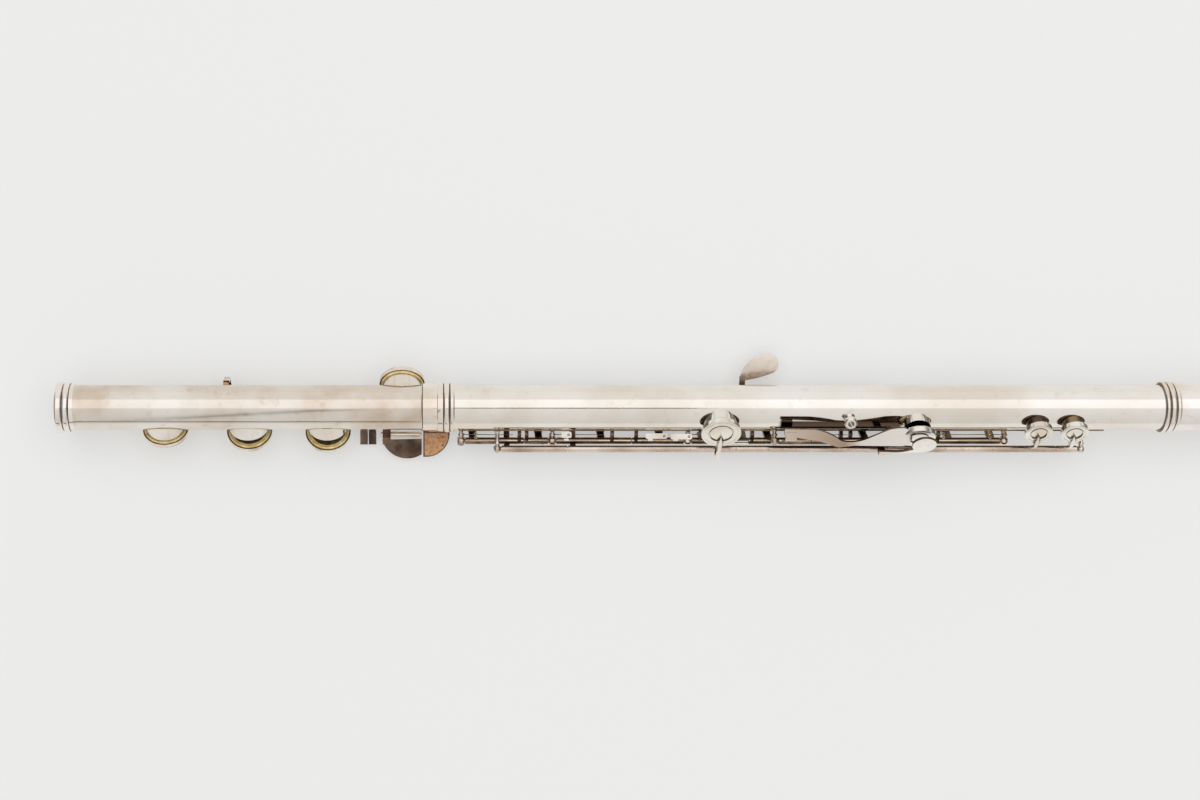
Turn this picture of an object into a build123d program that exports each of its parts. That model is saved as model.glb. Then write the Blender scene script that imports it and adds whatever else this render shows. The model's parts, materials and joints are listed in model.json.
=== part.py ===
from build123d import *
import os
from math import atan2, cos, degrees, hypot, radians, sin

# Concert flute with a low B foot, lying with its key cups down.
# +X runs from the open foot end to the crown, +Z is the back of the flute, -Y is the player's side.
# Round the tube, angle 0 is the front (-Z) and angle 90 the player's side (-Y).
# Lengths are in millimetres.

# Tube and joints
BORE_R = 9.5
TUBE_WALL = 0.4
TUBE_R = BORE_R + TUBE_WALL
SLIDE_GAP = 0.05
END_GAP = 0.3
FOOT_TUBE_END = 161.0
SOCKET_LAP = 0.6
SOCKET_LENGTH = 14.6
SOCKET_START = FOOT_TUBE_END - SOCKET_LAP
SOCKET_END = SOCKET_START + SOCKET_LENGTH
SOCKET_R = TUBE_R + 0.7
RING_R = TUBE_R + 1.3
RING_WIDTH = 7.0
END_RING_LENGTH = 8.0
BODY_START = FOOT_TUBE_END + END_GAP
BODY_LENGTH = 343.7
BODY_END = BODY_START + BODY_LENGTH
BARREL_LAP = 19.0
BARREL_LENGTH = 49.0
BARREL_START = BODY_END - BARREL_LAP
BARREL_END = BARREL_START + BARREL_LENGTH
BARREL_R = TUBE_R + 0.6
BARREL_RING_R = TUBE_R + 1.6
BARREL_RING_WIDTH = 6.5

# Head joint
HEAD_START = BODY_END + END_GAP
HEAD_TOP_BORE_R = 8.55
PLAIN_LENGTH = 5.0
LIP_TO_BARREL = 105.3
LIP_TO_END = 52.7
LIP_X = BARREL_END + LIP_TO_BARREL
HEAD_END = LIP_X + LIP_TO_END
LIP_HOLE_LENGTH = 12.2
TAPER_START = BARREL_END + PLAIN_LENGTH
TAPER_END = LIP_X - LIP_HOLE_LENGTH
LIP_HOLE_WIDTH = 10.4
LIP_HOLE_CORNER = 4.8
LIP_PLATE_LENGTH = 48.0
LIP_PLATE_WIDTH = 27.0
LIP_PLATE_R = TUBE_R + 3.9
LIP_PLATE_WALL = 0.9
RISER_WALL = 0.8
CROWN_LENGTH = 15.0
CROWN_END = HEAD_END + CROWN_LENGTH
CROWN_R = 9.7
CROWN_EDGE = 3.5
CROWN_GAP = 0.1
STOPPER_SETBACK = 17.3
STOPPER_CORK_LENGTH = 18.0
STOPPER_PLATE = 1.4
STOPPER_SCREW_R = 2.0
STOPPER_GAP = 0.04

# Tone holes: one semitone apart, measured from the lip hole with an end correction
FIRST_HOLE_X = SOCKET_END + 8.1
END_CORRECTION = 68.5
SEMITONE = 2 ** (-1 / 12)
CHIMNEY_WALL = 0.5
SEAT = TUBE_R + 2.3
FOOT_HOLE_R = 8.1
LOW_HOLE_R = 7.1
MID_HOLE_R = 6.7
THUMB_HOLE_R = 5.3
C_HOLE_R = 3.6
TRILL_HOLE_R = 4.05
BACK_ANGLE = 130.0
FOOT_CUP_ANGLE = 46.0
E_FLAT_ANGLE = -50.0

# Key cups, pads and arms
PAD_GAP = 0.06
PAD_HEIGHT = 2.4
PAD_SHOW = 0.8
PAD_MARGIN = 0.9
PAD_FIT = 0.03
CUP_WALL = 0.6
CUP_TOP = SEAT + PAD_GAP + PAD_HEIGHT + CUP_WALL
DISH_DEPTH = 0.3
DISH_SHARE = 0.62
ARM_THICKNESS = 1.4
ARM_ROOT = 3.2
ARM_WIDE = 4.6
PLATE_THICKNESS = 1.2

# Hinges
ROD_R = 1.0
HINGE_R = 1.5
HINGE_GAP = 0.05
HINGE_END_GAP = 0.35
POST_HEAD_R = 2.2
POST_HALF = 1.6
POST_STEM_R = 0.9
ROD_FIT = 0.02
SPRING_R = 0.22
SPRING_LENGTH = 19.0
SPRING_OFFSET = 2.02
RIB_THICKNESS = 0.7
RIB_START = 177.0
RIB_END = 462.0
RIB_LOW_ANGLE = 58.0
RIB_HIGH_ANGLE = 82.0

# Hinge lines: distance to the player's side and to the front of the tube axis
MAIN_LINE = (14.9, 7.5)
TRILL_LINE = (18.5, 4.5)
THUMB_LINE = (14.9, -0.5)
FOOT_LINE_REACH = 15.2
FOOT_LINE_STEP = 15.0
TRILL_HEAD_R = 1.75

# Key travel in degrees about its hinge
MAIN_TRAVEL = 9.5
SMALL_TRAVEL = 7.5
THUMB_TRAVEL = 11.5
LEVER_TRAVEL = 5.0
C_SHARP_TRAVEL = 14.0
LOW_C_TRAVEL = 11.5
LOW_B_REST = 1.2


def foot_line(number):
    # Foot hinge lines stand side by side on the front, stepping to the far side.
    a = radians(-FOOT_LINE_STEP * number)
    return (FOOT_LINE_REACH * sin(a), FOOT_LINE_REACH * cos(a))


def hole_x(step):
    # Place of the hole that sounds this many semitones above the lowest hole of the body.
    speaking = (LIP_X - FIRST_HOLE_X + END_CORRECTION) * SEMITONE ** step
    return LIP_X - (speaking - END_CORRECTION)


def between(low, high):
    return (hole_x(low) + hole_x(high)) / 2


def outward(x, angle, reach=0.0):
    # Plane at this reach whose z axis points out of the tube and whose y axis runs round it.
    a = radians(angle)
    return Plane(origin=(x, -reach * sin(a), -reach * cos(a)), x_dir=(1, 0, 0),
                 z_dir=(0, -sin(a), -cos(a)))


def across(x, angle):
    # Plane across the tube: its first axis runs round the tube and its second axis out of it.
    a = radians(angle)
    return Plane(origin=(x, 0, 0), x_dir=(0, -cos(a), sin(a)), z_dir=(1, 0, 0))


def seen_from(line, angle):
    # A hinge line's coordinates in the across plane of this angle.
    side, front = line
    a = radians(angle)
    return (side * cos(a) - front * sin(a), side * sin(a) + front * cos(a))


def line_angle(line):
    return degrees(atan2(line[0], line[1]))


def swing(shape, line, degrees_about_x):
    return shape.rotate(Axis((0, -line[0], -line[1]), (1, 0, 0)), degrees_about_x)


def opened(shape, line, angle, travel):
    # Turns a closed key about its hinge until its cup stands open.
    side = seen_from(line, angle)[0]
    return swing(shape, line, -travel if side > 0 else travel)


def along(x0, x1, line, radius):
    # Round bar parallel to the tube.
    start = Plane(origin=(x0, -line[0], -line[1]), x_dir=(0, 1, 0), z_dir=(1, 0, 0))
    return start.location * Cylinder(radius, x1 - x0, align=(Align.CENTER, Align.CENTER, Align.MIN))


def turned(*profile):
    # Ring or tube about the flute's axis from points of length and radius.
    return revolve(Plane.XY * make_face(Polyline(*profile, close=True)), Axis.X)


def standing(x, angle, reach, radius, height):
    # Round peg standing out from the tube.
    peg = Cylinder(radius, height, align=(Align.CENTER, Align.CENTER, Align.MIN))
    return outward(x, angle, reach).location * peg


def bent_strip(x, angle, width, thickness, radius, *points):
    # Strip of even thickness that follows a bent line across the tube.
    path = FilletPolyline(*points, radius=radius)
    return extrude(across(x, angle) * trace(path, line_width=thickness), amount=width / 2, both=True)


def flat_plate(outline, angle, reach, thickness):
    # Plate lying square to one direction out of the tube.
    return extrude(outward(0, angle, reach) * make_face(outline), amount=thickness)


def pad_radius(hole_r):
    return hole_r + CHIMNEY_WALL + PAD_MARGIN


def cup_radius(hole_r):
    return pad_radius(hole_r) + CUP_WALL


def cup(x, angle, hole_r, dished=False):
    # Shallow cup open towards its hole, drawn closed.
    r, inner = cup_radius(hole_r), pad_radius(hole_r)
    ceiling = CUP_TOP - CUP_WALL
    rim = SEAT + PAD_GAP + PAD_SHOW
    profile = [(0, ceiling), (inner, ceiling), (inner, rim), (r, rim), (r, CUP_TOP)]
    if dished:
        profile += [(r * DISH_SHARE, CUP_TOP), (r * DISH_SHARE, CUP_TOP - DISH_DEPTH),
                    (0, CUP_TOP - DISH_DEPTH)]
    else:
        profile += [(0, CUP_TOP)]
    bowl = revolve(Plane.XZ * make_face(Polyline(*profile, close=True)), Axis.Z)
    return outward(x, angle).location * bowl


def pad(x, angle, hole_r):
    return standing(x, angle, SEAT + PAD_GAP, pad_radius(hole_r) - PAD_FIT, PAD_HEIGHT - PAD_FIT)


def cup_arm(x, angle, hole_r, line, root_shift=0.0, corner=None):
    # Pointed arm from the hinge tube over the rim to the middle of the cup.
    side, height = seen_from(line, angle)
    way = 1 if side > 0 else -1
    r = cup_radius(hole_r)
    top = CUP_TOP + ARM_THICKNESS / 4
    corner = corner or [(way * (r + ARM_THICKNESS), top)]
    strip = bent_strip(x + root_shift / 2, angle, 2 * ARM_WIDE + abs(root_shift), ARM_THICKNESS,
                       ARM_THICKNESS,
                       (side, height), *corner, (0, top))
    half, wide, far = ARM_ROOT / 2, ARM_WIDE / 2, way * (abs(side) + 4 * HINGE_R)
    point = Polyline((root_shift - half, far), (root_shift - half, way * (r + ARM_THICKNESS)),
                     (-wide, way * r * 0.75),
                     (0, way * 0.5), (wide, way * r * 0.75),
                     (root_shift + half, way * (r + ARM_THICKNESS)),
                     (root_shift + half, far), close=True)
    return strip & extrude(outward(x, angle) * make_face(point), amount=2 * CUP_TOP)


def hinged(parts, line, x0, x1, rod_r=ROD_R):
    # Joins the pieces of a key to its hinge tube and bores the tube for its rod.
    key = along(x0, x1, line, HINGE_R)
    for part in parts:
        key += part
    return key - along(x0 - 1, x1 + 1, line, rod_r + HINGE_GAP)


def post(x, line, seat_r, head_r=POST_HEAD_R):
    # Post whose round head takes the ends of the rods on either side.
    stem = standing(x, line_angle(line), seat_r, POST_STEM_R, hypot(*line) - seat_r)
    return stem + along(x - POST_HALF, x + POST_HALF, line, head_r)


def rods_between(posts, line):
    # One steel rod from each post to the next.
    return [along(x0 + POST_HALF, x1 - POST_HALF, line, ROD_R) for x0, x1 in zip(posts, posts[1:])]


def needle(x, way, line, length=SPRING_LENGTH):
    # Six-sided needle spring beside a hinge tube, set in the head of a post.
    start = Plane(origin=(x + way * (POST_HALF + ROD_FIT), -line[0], SPRING_OFFSET - line[1]),
                  z_dir=(way, 0, 0))
    return extrude(start * RegularPolygon(SPRING_R, 6), amount=length)


def chimneys(tube, holes):
    # Raises a rim round each hole and opens it into the bore.
    for x, angle, r in holes:
        tube += standing(x, angle, BORE_R / 2, r + CHIMNEY_WALL, SEAT - BORE_R / 2)
    tube -= turned((0, 0), (0, BORE_R), (BODY_END, BORE_R), (BODY_END, 0))
    for x, angle, r in holes:
        tube -= standing(x, angle, 0, r, SEAT + 1)
    return tube


def write(name, *shapes):
    solids = [solid for shape in shapes for solid in shape.solids()]
    export_step(solids[0] if len(solids) == 1 else Compound(children=solids), f"parts/{name}.step")


# Foot joint

E_FLAT_X, C_SHARP_X, LOW_C_X, LOW_B_X = (hole_x(step) for step in (-1, -2, -3, -4))
LINE_A, LINE_B, LINE_C = (foot_line(number) for number in range(3))
FOOT_CUP_R = cup_radius(FOOT_HOLE_R)
LINE_A_START, LINE_A_END = C_SHARP_X - FOOT_CUP_R - POST_HALF, SOCKET_START + 3 * POST_HALF
LINE_B_START, LINE_B_END = (LOW_B_X + LOW_C_X) / 2 + END_GAP, E_FLAT_X - FOOT_CUP_R - END_GAP
LINE_C_START, LINE_C_END = LOW_B_X - FOOT_CUP_R + 1, LINE_B_END - 2 * POST_HALF + END_GAP / 2
TOUCH_REACH = TUBE_R + 1.1
TOUCH_WIDTH = 8.6
C_SHARP_TOUCH_START = E_FLAT_X - 9.1
C_SHARP_TOUCH_LENGTH = 17.7
E_FLAT_TOUCH_START = C_SHARP_TOUCH_START + C_SHARP_TOUCH_LENGTH + 0.7
E_FLAT_TOUCH_LENGTH = 11.8
CORK_EDGE = 0.65
CORK_THICKNESS = 1.0
ROLLER_R = 1.55
ROLLER_PIN_R = 0.6
ROLLER_FRAME_WIDTH = 3.4
ROLLER_FLOOR = 0.8
ROLLER_CLEARANCE = 0.35
ROLLER_INNER, ROLLER_OUTER = TUBE_R + 0.3, TUBE_R + 6.8
ROLLER_MIDDLE = (ROLLER_INNER + ROLLER_OUTER) / 2
ROLLER_BASE = TUBE_R + 2.4
ROLLER_HEIGHT = ROLLER_BASE + ROLLER_FLOOR + ROLLER_CLEARANCE + ROLLER_R
EAR = 0.8
BRIDGE_HEIGHT = FOOT_LINE_REACH + 2.8
BRIDGE_WIDTH = 2.2
B_ROLLER_X = LINE_C_END - 3.7
C_ROLLER_X = B_ROLLER_X + ROLLER_FRAME_WIDTH + END_GAP


def foot_tube():
    holes = [(x, FOOT_CUP_ANGLE, FOOT_HOLE_R) for x in (LOW_B_X, LOW_C_X, C_SHARP_X)]
    holes.append((E_FLAT_X, E_FLAT_ANGLE, FOOT_HOLE_R))
    shell = turned((0, 0), (0, TUBE_R), (FOOT_TUBE_END, TUBE_R), (FOOT_TUBE_END, 0))
    return chimneys(shell, holes)


def foot_socket():
    # Sleeve that takes the body's tenon, with a pair of rings at its mouth.
    tenon_r = TUBE_R + SLIDE_GAP
    ring = SOCKET_END - RING_WIDTH
    return turned((SOCKET_START, tenon_r), (SOCKET_START, SOCKET_R), (ring, SOCKET_R), (ring, RING_R),
                  (SOCKET_END, RING_R), (SOCKET_END, tenon_r))


def end_ring():
    # Turned ring on the open end of the foot.
    return turned((0, TUBE_R), (0, RING_R), (END_RING_LENGTH, RING_R), (END_RING_LENGTH, TUBE_R))


def roller_key(line, roller_x, x0, x1, cup_x):
    # Low key: cup on its arm, hinge tube, and a bridge over the next lines to a roller frame.
    rise = (line[0] + HINGE_R / 2, BRIDGE_HEIGHT)
    first_ear, last_ear = ROLLER_INNER + EAR / 2, ROLLER_OUTER - EAR / 2
    bridge = bent_strip(roller_x, 0, BRIDGE_WIDTH, ARM_THICKNESS, 1.0, line, rise,
                        (2 * HINGE_R, BRIDGE_HEIGHT),
                        (first_ear, ROLLER_BASE + ROLLER_PIN_R))
    size = ROLLER_OUTER - ROLLER_INNER
    floor = Box(ROLLER_FRAME_WIDTH, size, ROLLER_FLOOR)
    frame = Pos(roller_x, -ROLLER_MIDDLE, -(ROLLER_BASE + ROLLER_FLOOR / 2)) * floor
    ear_height = ROLLER_HEIGHT + 2 * ROLLER_PIN_R - ROLLER_BASE
    for y in (first_ear, last_ear):
        frame += Pos(roller_x, -y, -(ROLLER_BASE + ear_height / 2)) * Box(ROLLER_FRAME_WIDTH - EAR, EAR,
                                                                          ear_height)
    pin = Pos(roller_x, -ROLLER_MIDDLE, -ROLLER_HEIGHT) * Rot(90, 0, 0) * Cylinder(ROLLER_PIN_R, size)
    arm = cup_arm(cup_x, FOOT_CUP_ANGLE, FOOT_HOLE_R, line)
    return hinged([cup(cup_x, FOOT_CUP_ANGLE, FOOT_HOLE_R), arm, bridge, frame, pin], line, x0, x1)


def roller(x):
    length = ROLLER_OUTER - ROLLER_INNER - 2 * EAR - END_GAP
    barrel = Cylinder(ROLLER_R, length) - Cylinder(ROLLER_PIN_R + HINGE_GAP, length)
    return Pos(x, -ROLLER_MIDDLE, -ROLLER_HEIGHT) * Rot(90, 0, 0) * barrel


def c_sharp_key():
    # Cup, hinge tube and a half-round plate under the little finger.
    left, right = C_SHARP_TOUCH_START, C_SHARP_TOUCH_START + C_SHARP_TOUCH_LENGTH
    inner = TUBE_R + 3.9
    outer, root = inner + TOUCH_WIDTH, inner + 0.4
    outline = Curve() + [Line((left, root), (right, inner)), Line((right, inner), (right, outer - 1.6)),
                         ThreePointArc((right, outer - 1.6), (left + TOUCH_WIDTH, outer), (left, root))]
    plate = flat_plate(outline, 0, TOUCH_REACH, PLATE_THICKNESS)
    middle = TOUCH_REACH + PLATE_THICKNESS / 2
    strap = bent_strip(left + 2, 0, 3.6, ARM_THICKNESS, 2, LINE_A, (4 * HINGE_R, FOOT_LINE_REACH),
                       (inner, middle), (inner + 2.4, middle))
    arm = cup_arm(C_SHARP_X, FOOT_CUP_ANGLE, FOOT_HOLE_R, LINE_A)
    pieces = [cup(C_SHARP_X, FOOT_CUP_ANGLE, FOOT_HOLE_R), arm, plate, strap]
    return hinged(pieces, LINE_A, LINE_A_START + POST_HALF + HINGE_END_GAP, E_FLAT_X - 4.8)


def quarter_round(margin):
    # Outline of the E flat plate, drawn in by a margin.
    left, right = E_FLAT_TOUCH_START + margin, E_FLAT_TOUCH_START + E_FLAT_TOUCH_LENGTH - margin
    inner = TUBE_R + 1.0 + margin
    outer = inner + E_FLAT_TOUCH_LENGTH - 0.5 - 2 * margin
    middle = (left + 0.77 * (right - left), inner + 0.7 * (outer - inner))
    return Curve() + [Line((right, inner), (left, inner)), Line((left, inner), (left, outer)),
                      ThreePointArc((left, outer), middle, (right, inner))]


def e_flat_key():
    # Far-side cup held shut, opened by a quarter-round plate on the player's side.
    reach = TOUCH_REACH + CORK_THICKNESS + PLATE_THICKNESS / 2
    plate = flat_plate(quarter_round(0), 0, reach, PLATE_THICKNESS)
    inner, middle = TUBE_R + 1.0, reach + ARM_THICKNESS / 2
    strap = bent_strip(E_FLAT_TOUCH_START + 1.2, 0, 2.3, ARM_THICKNESS, 2, LINE_A,
                       (3.5 * HINGE_R, FOOT_LINE_REACH),
                       (inner, middle), (inner + 2.4, middle))
    arm = cup_arm(E_FLAT_X, E_FLAT_ANGLE, FOOT_HOLE_R, LINE_A)
    pieces = [cup(E_FLAT_X, E_FLAT_ANGLE, FOOT_HOLE_R), arm, plate, strap]
    return hinged(pieces, LINE_A, E_FLAT_X - 4.4, LINE_A_END - POST_HALF - HINGE_END_GAP)


def e_flat_cork():
    # Cork sheet under the plate, which quiets it against the tube.
    return flat_plate(quarter_round(CORK_EDGE), 0, TOUCH_REACH + PLATE_THICKNESS / 2, CORK_THICKNESS)


TAIL_X = LOW_C_X - FOOT_CUP_R + END_GAP
TAIL_ANGLE = -66.0
TAIL_WIDTH = 2.6
BUMPER_R = 1.25
BUMPER_THICKNESS = 1.55


def low_c_tail():
    # Far-side tail of the low C key that stops it when it stands open.
    r = FOOT_LINE_REACH
    return bent_strip(TAIL_X, 0, TAIL_WIDTH, PLATE_THICKNESS, 1.0, LINE_B, (-0.3 * r, 1.145 * r),
                      (-0.63 * r, 1.12 * r),
                      (-0.855 * r, 0.7 * r), (-0.743 * r, 0.33 * r))


def low_c_bumper():
    return standing(TAIL_X, TAIL_ANGLE, TUBE_R + END_GAP, BUMPER_R, BUMPER_THICKNESS)


def foot_posts():
    return [post(LINE_A_START, LINE_A, TUBE_R), post(LINE_A_END, LINE_A, SOCKET_R),
            post(LINE_B_START, LINE_B, TUBE_R), post(LINE_B_END, LINE_B, TUBE_R),
            post(LINE_C_START, LINE_C, TUBE_R), post(LINE_C_END, LINE_C, TUBE_R)]


def foot_rods():
    return (rods_between((LINE_A_START, LINE_A_END), LINE_A) + rods_between((LINE_B_START, LINE_B_END),
                                                                            LINE_B)
            + rods_between((LINE_C_START, LINE_C_END), LINE_C))


def foot_springs():
    return [needle(LINE_A_START, 1, LINE_A), needle(LINE_A_END, -1, LINE_A),
            needle(LINE_B_START, 1, LINE_B), needle(LINE_C_START, 1, LINE_C)]


# Body

D_X, E_X, F_X, F_SHARP_X, LOWER_G_X, G_X, A_X, B_FLAT_X, THUMB_X = (hole_x(step) for step in range(9))
C_X, D_TRILL_X, D_SHARP_TRILL_X = (hole_x(step) for step in (10, 11, 12))
MAIN_POSTS = (D_X - 5.1, E_X + 5.9, between(3, 4) - 0.5, between(5, 6), between(8, 10) - 10.2, C_X + 5.4)
TRILL_POSTS = (D_X + 10.9, D_SHARP_TRILL_X + 6.6)
THUMB_POSTS = (G_X + 1.2, B_FLAT_X + 8.5)
TRILL_TOUCH_REACH = CUP_TOP + 1.7
TRILL_TOUCH_SIDE = 8.0
TRILL_TOUCH_END = 3.0
THUMB_TIP_X = B_FLAT_X - 10.2
STUD_ANGLE = 150.0
STUD_R = 2.9
STUD_NECK = 2.1
STUD_HEAD = 2.8
SLOT_WIDTH = 0.45
KICKER_WIDTH = 1.6
C_TOUCH_R = 6.0


def body_tube():
    low = [(hole_x(step), 0, LOW_HOLE_R) for step in range(4)]
    mid = [(hole_x(step), 0, MID_HOLE_R) for step in range(4, 8)]
    back = [(LOWER_G_X, BACK_ANGLE, MID_HOLE_R), (THUMB_X, BACK_ANGLE, THUMB_HOLE_R),
            (D_TRILL_X, BACK_ANGLE, TRILL_HOLE_R), (D_SHARP_TRILL_X, BACK_ANGLE, TRILL_HOLE_R)]
    shell = turned((BODY_START, 0), (BODY_START, TUBE_R), (BODY_END, TUBE_R), (BODY_END, 0))
    return chimneys(shell, low + mid + back + [(C_X, 0, C_HOLE_R)])


def body_rib():
    # Strap soldered along the tube that carries the posts.
    middle, half = (RIB_LOW_ANGLE + RIB_HIGH_ANGLE) / 2, radians(RIB_HIGH_ANGLE - RIB_LOW_ANGLE) / 2
    inner, outer = TUBE_R, TUBE_R + RIB_THICKNESS
    corners = [(r * sin(way * half), r * cos(half)) for r in (inner, outer) for way in (-1, 1)]
    outline = Curve() + [ThreePointArc(corners[0], (0, inner), corners[1]), Line(corners[1], corners[3]),
                         ThreePointArc(corners[3], (0, outer), corners[2]), Line(corners[2], corners[0])]
    return extrude(across(RIB_START, middle) * make_face(outline), amount=RIB_END - RIB_START)


def body_posts():
    seat = TUBE_R + RIB_THICKNESS
    posts = [post(x, MAIN_LINE, seat) for x in MAIN_POSTS]
    posts += [post(x, TRILL_LINE, seat, TRILL_HEAD_R) for x in TRILL_POSTS]
    posts += [post(x, THUMB_LINE, TUBE_R, TRILL_HEAD_R) for x in THUMB_POSTS]
    return posts


def thumb_stud():
    # Round-headed stud with a slotted top beside the tip of the thumb plate.
    x, low, high = THUMB_TIP_X, TUBE_R + STUD_NECK, TUBE_R + STUD_NECK + STUD_HEAD
    stud = standing(x, STUD_ANGLE, TUBE_R, POST_STEM_R, STUD_NECK)
    stud += standing(x, STUD_ANGLE, low, STUD_R, STUD_HEAD)
    slot = Box(3 * STUD_R, SLOT_WIDTH, 2 * SLOT_WIDTH)
    return stud - outward(x, STUD_ANGLE, high).location * Rot(0, 0, 40) * slot


def barrel():
    # Sleeve over the body's upper end that takes the head joint.
    tenon_r = TUBE_R + SLIDE_GAP
    ring_end = BARREL_START + BARREL_RING_WIDTH
    return turned((BARREL_START, tenon_r), (BARREL_START, BARREL_RING_R), (ring_end, BARREL_RING_R),
                  (ring_end, BARREL_R), (BARREL_END, BARREL_R), (BARREL_END, tenon_r))


def kicker(x):
    # Foot under the hinge tube that meets the rib when the key stands open.
    side, front = MAIN_LINE
    rest = TUBE_R + RIB_THICKNESS + END_GAP
    heel, toe = radians(68), radians(72)
    outline = Polyline((side - 1.2, front - 0.4), (side + 0.9, front - 1.0), (side - 2.6, front - 4.6),
                       (rest * sin(toe), rest * cos(toe)), (rest * sin(heel) + 0.1, front - 3.0),
                       close=True)
    return extrude(across(x, 0) * make_face(outline), amount=KICKER_WIDTH / 2, both=True)


def main_key(x, hole_r, x0, x1, kicker_x, root_shift=0.0, travel=MAIN_TRAVEL, extras=()):
    # Finger key on the main line, standing open.
    moving = cup(x, 0, hole_r) + cup_arm(x, 0, hole_r, MAIN_LINE, root_shift)
    for extra in extras:
        moving += extra
    return hinged([opened(moving, MAIN_LINE, 0, travel), kicker(kicker_x)], MAIN_LINE, x0, x1)


def main_pad(x, hole_r, travel=MAIN_TRAVEL):
    return opened(pad(x, 0, hole_r), MAIN_LINE, 0, travel)


def c_touch():
    # Finger plate of the C key, between its cup and the B flat cup.
    x, reach = C_X - 19.0, CUP_TOP - 0.9
    middle = reach + ARM_THICKNESS / 2
    disc = standing(x, 0, reach, C_TOUCH_R, PLATE_THICKNESS)
    strap = bent_strip(x, 0, 3.4, ARM_THICKNESS, ARM_THICKNESS, MAIN_LINE, (C_TOUCH_R + 2.5, middle),
                       (2, middle))
    return disc + strap


# G sharp paddle, its places counted round the tube towards the player's side
PADDLE_LENGTH = 17.3
PADDLE_NEAR = -12.0
PADDLE_FAR = -24.1
PADDLE_R = 4.7
PADDLE_NECK = 2.6


def g_sharp_key():
    # Back cup held shut, hooked over the trill tube, with a far-side paddle for the little finger.
    hook = [(-18.3, 9.3), (-17.8, 14.6), (-cup_radius(MID_HOLE_R) - 1.0, CUP_TOP + 0.35)]
    arm = cup_arm(LOWER_G_X, BACK_ANGLE, MID_HOLE_R, MAIN_LINE, corner=hook)
    lever_x = between(4, 5)
    lever = bent_strip(lever_x + PADDLE_NECK / 8, 0, PADDLE_NECK, ARM_THICKNESS, 3, MAIN_LINE,
                       (10.0, 13.6), (-7.5, 13.6), (-14.0, 11.6))
    left, right = lever_x - 0.9, lever_x - 0.9 + PADDLE_LENGTH
    round_x, near, far = right - PADDLE_R, PADDLE_NEAR, PADDLE_FAR
    paddle_line = Curve() + [ThreePointArc((left, near), (left + 3.2, far + PADDLE_R), (round_x, far)),
                             ThreePointArc((round_x, far), (right, far + PADDLE_R),
                                           (round_x + PADDLE_R / 2, far + 1.87 * PADDLE_R)),
                             ThreePointArc((round_x + PADDLE_R / 2, far + 1.87 * PADDLE_R),
                                           (left + 8.5, near - 1.2), (left + PADDLE_NECK, near)),
                             Line((left + PADDLE_NECK, near), (left, near))]
    paddle = flat_plate(paddle_line, 0, 11.0, PLATE_THICKNESS)
    pieces = [cup(LOWER_G_X, BACK_ANGLE, MID_HOLE_R, dished=True), arm, lever, paddle]
    return hinged(pieces, MAIN_LINE, LOWER_G_X - 3.6, lever_x + 2.2)


def trill_touch(x, width):
    # Finger plate between two main cups, on an arm over the main line.
    near, far, half, middle = TRILL_TOUCH_SIDE, -TRILL_TOUCH_END, width / 2, TRILL_TOUCH_REACH + 0.5
    side, front = TRILL_LINE
    arm = bent_strip(x, 0, 2.6, ARM_THICKNESS, 2, TRILL_LINE, (side + HINGE_R, 2 * front),
                     (side - 1.9, front + 10.3),
                     (near, middle), (0, middle))
    outline = Curve() + [Line((x - half, near), (x - half, far)),
                         ThreePointArc((x - half, far), (x, far - half), (x + half, far)),
                         Line((x + half, far), (x + half, near)),
                         Line((x + half, near), (x - half, near))]
    return arm + flat_plate(outline, 0, TRILL_TOUCH_REACH, PLATE_THICKNESS)


def trill_cup(x):
    return cup(x, BACK_ANGLE, TRILL_HOLE_R, dished=True) + cup_arm(x, BACK_ANGLE, TRILL_HOLE_R,
                                                                   TRILL_LINE)


def d_trill_key():
    # Long tube that turns on the other trill key's rod.
    touch_x = between(1, 2) + 1.5
    pieces = [trill_touch(touch_x, 6.0), trill_cup(D_TRILL_X)]
    return hinged(pieces, TRILL_LINE, touch_x - 2.6, D_SHARP_TRILL_X - 4.8)


def d_sharp_trill_key():
    # Rod pinned to a sleeve at each end, one with the finger plate and one with the cup.
    touch_x = between(0, 1) + 0.6
    sleeve_end = between(1, 2) - 1.5
    key = along(TRILL_POSTS[0] + POST_HALF + HINGE_GAP, TRILL_POSTS[1] - POST_HALF - HINGE_GAP,
                TRILL_LINE, ROD_R)
    key += along(TRILL_POSTS[0] + POST_HALF + HINGE_END_GAP, sleeve_end, TRILL_LINE, HINGE_R)
    key += along(D_SHARP_TRILL_X - 4.4, TRILL_POSTS[1] - POST_HALF - HINGE_END_GAP, TRILL_LINE, HINGE_R)
    return key + trill_touch(touch_x, 7.5) + trill_cup(D_SHARP_TRILL_X)


THUMB_SPLIT = THUMB_POSTS[0] + 15.8
THUMB_TOUCH_ANGLE = 150.0
THUMB_TOUCH_REACH = CUP_TOP + 0.94
THUMB_TOUCH_R = 4.55
LEVER_REACH = CUP_TOP + 4.54
LEVER_TOUCH_R = 5.2


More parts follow.
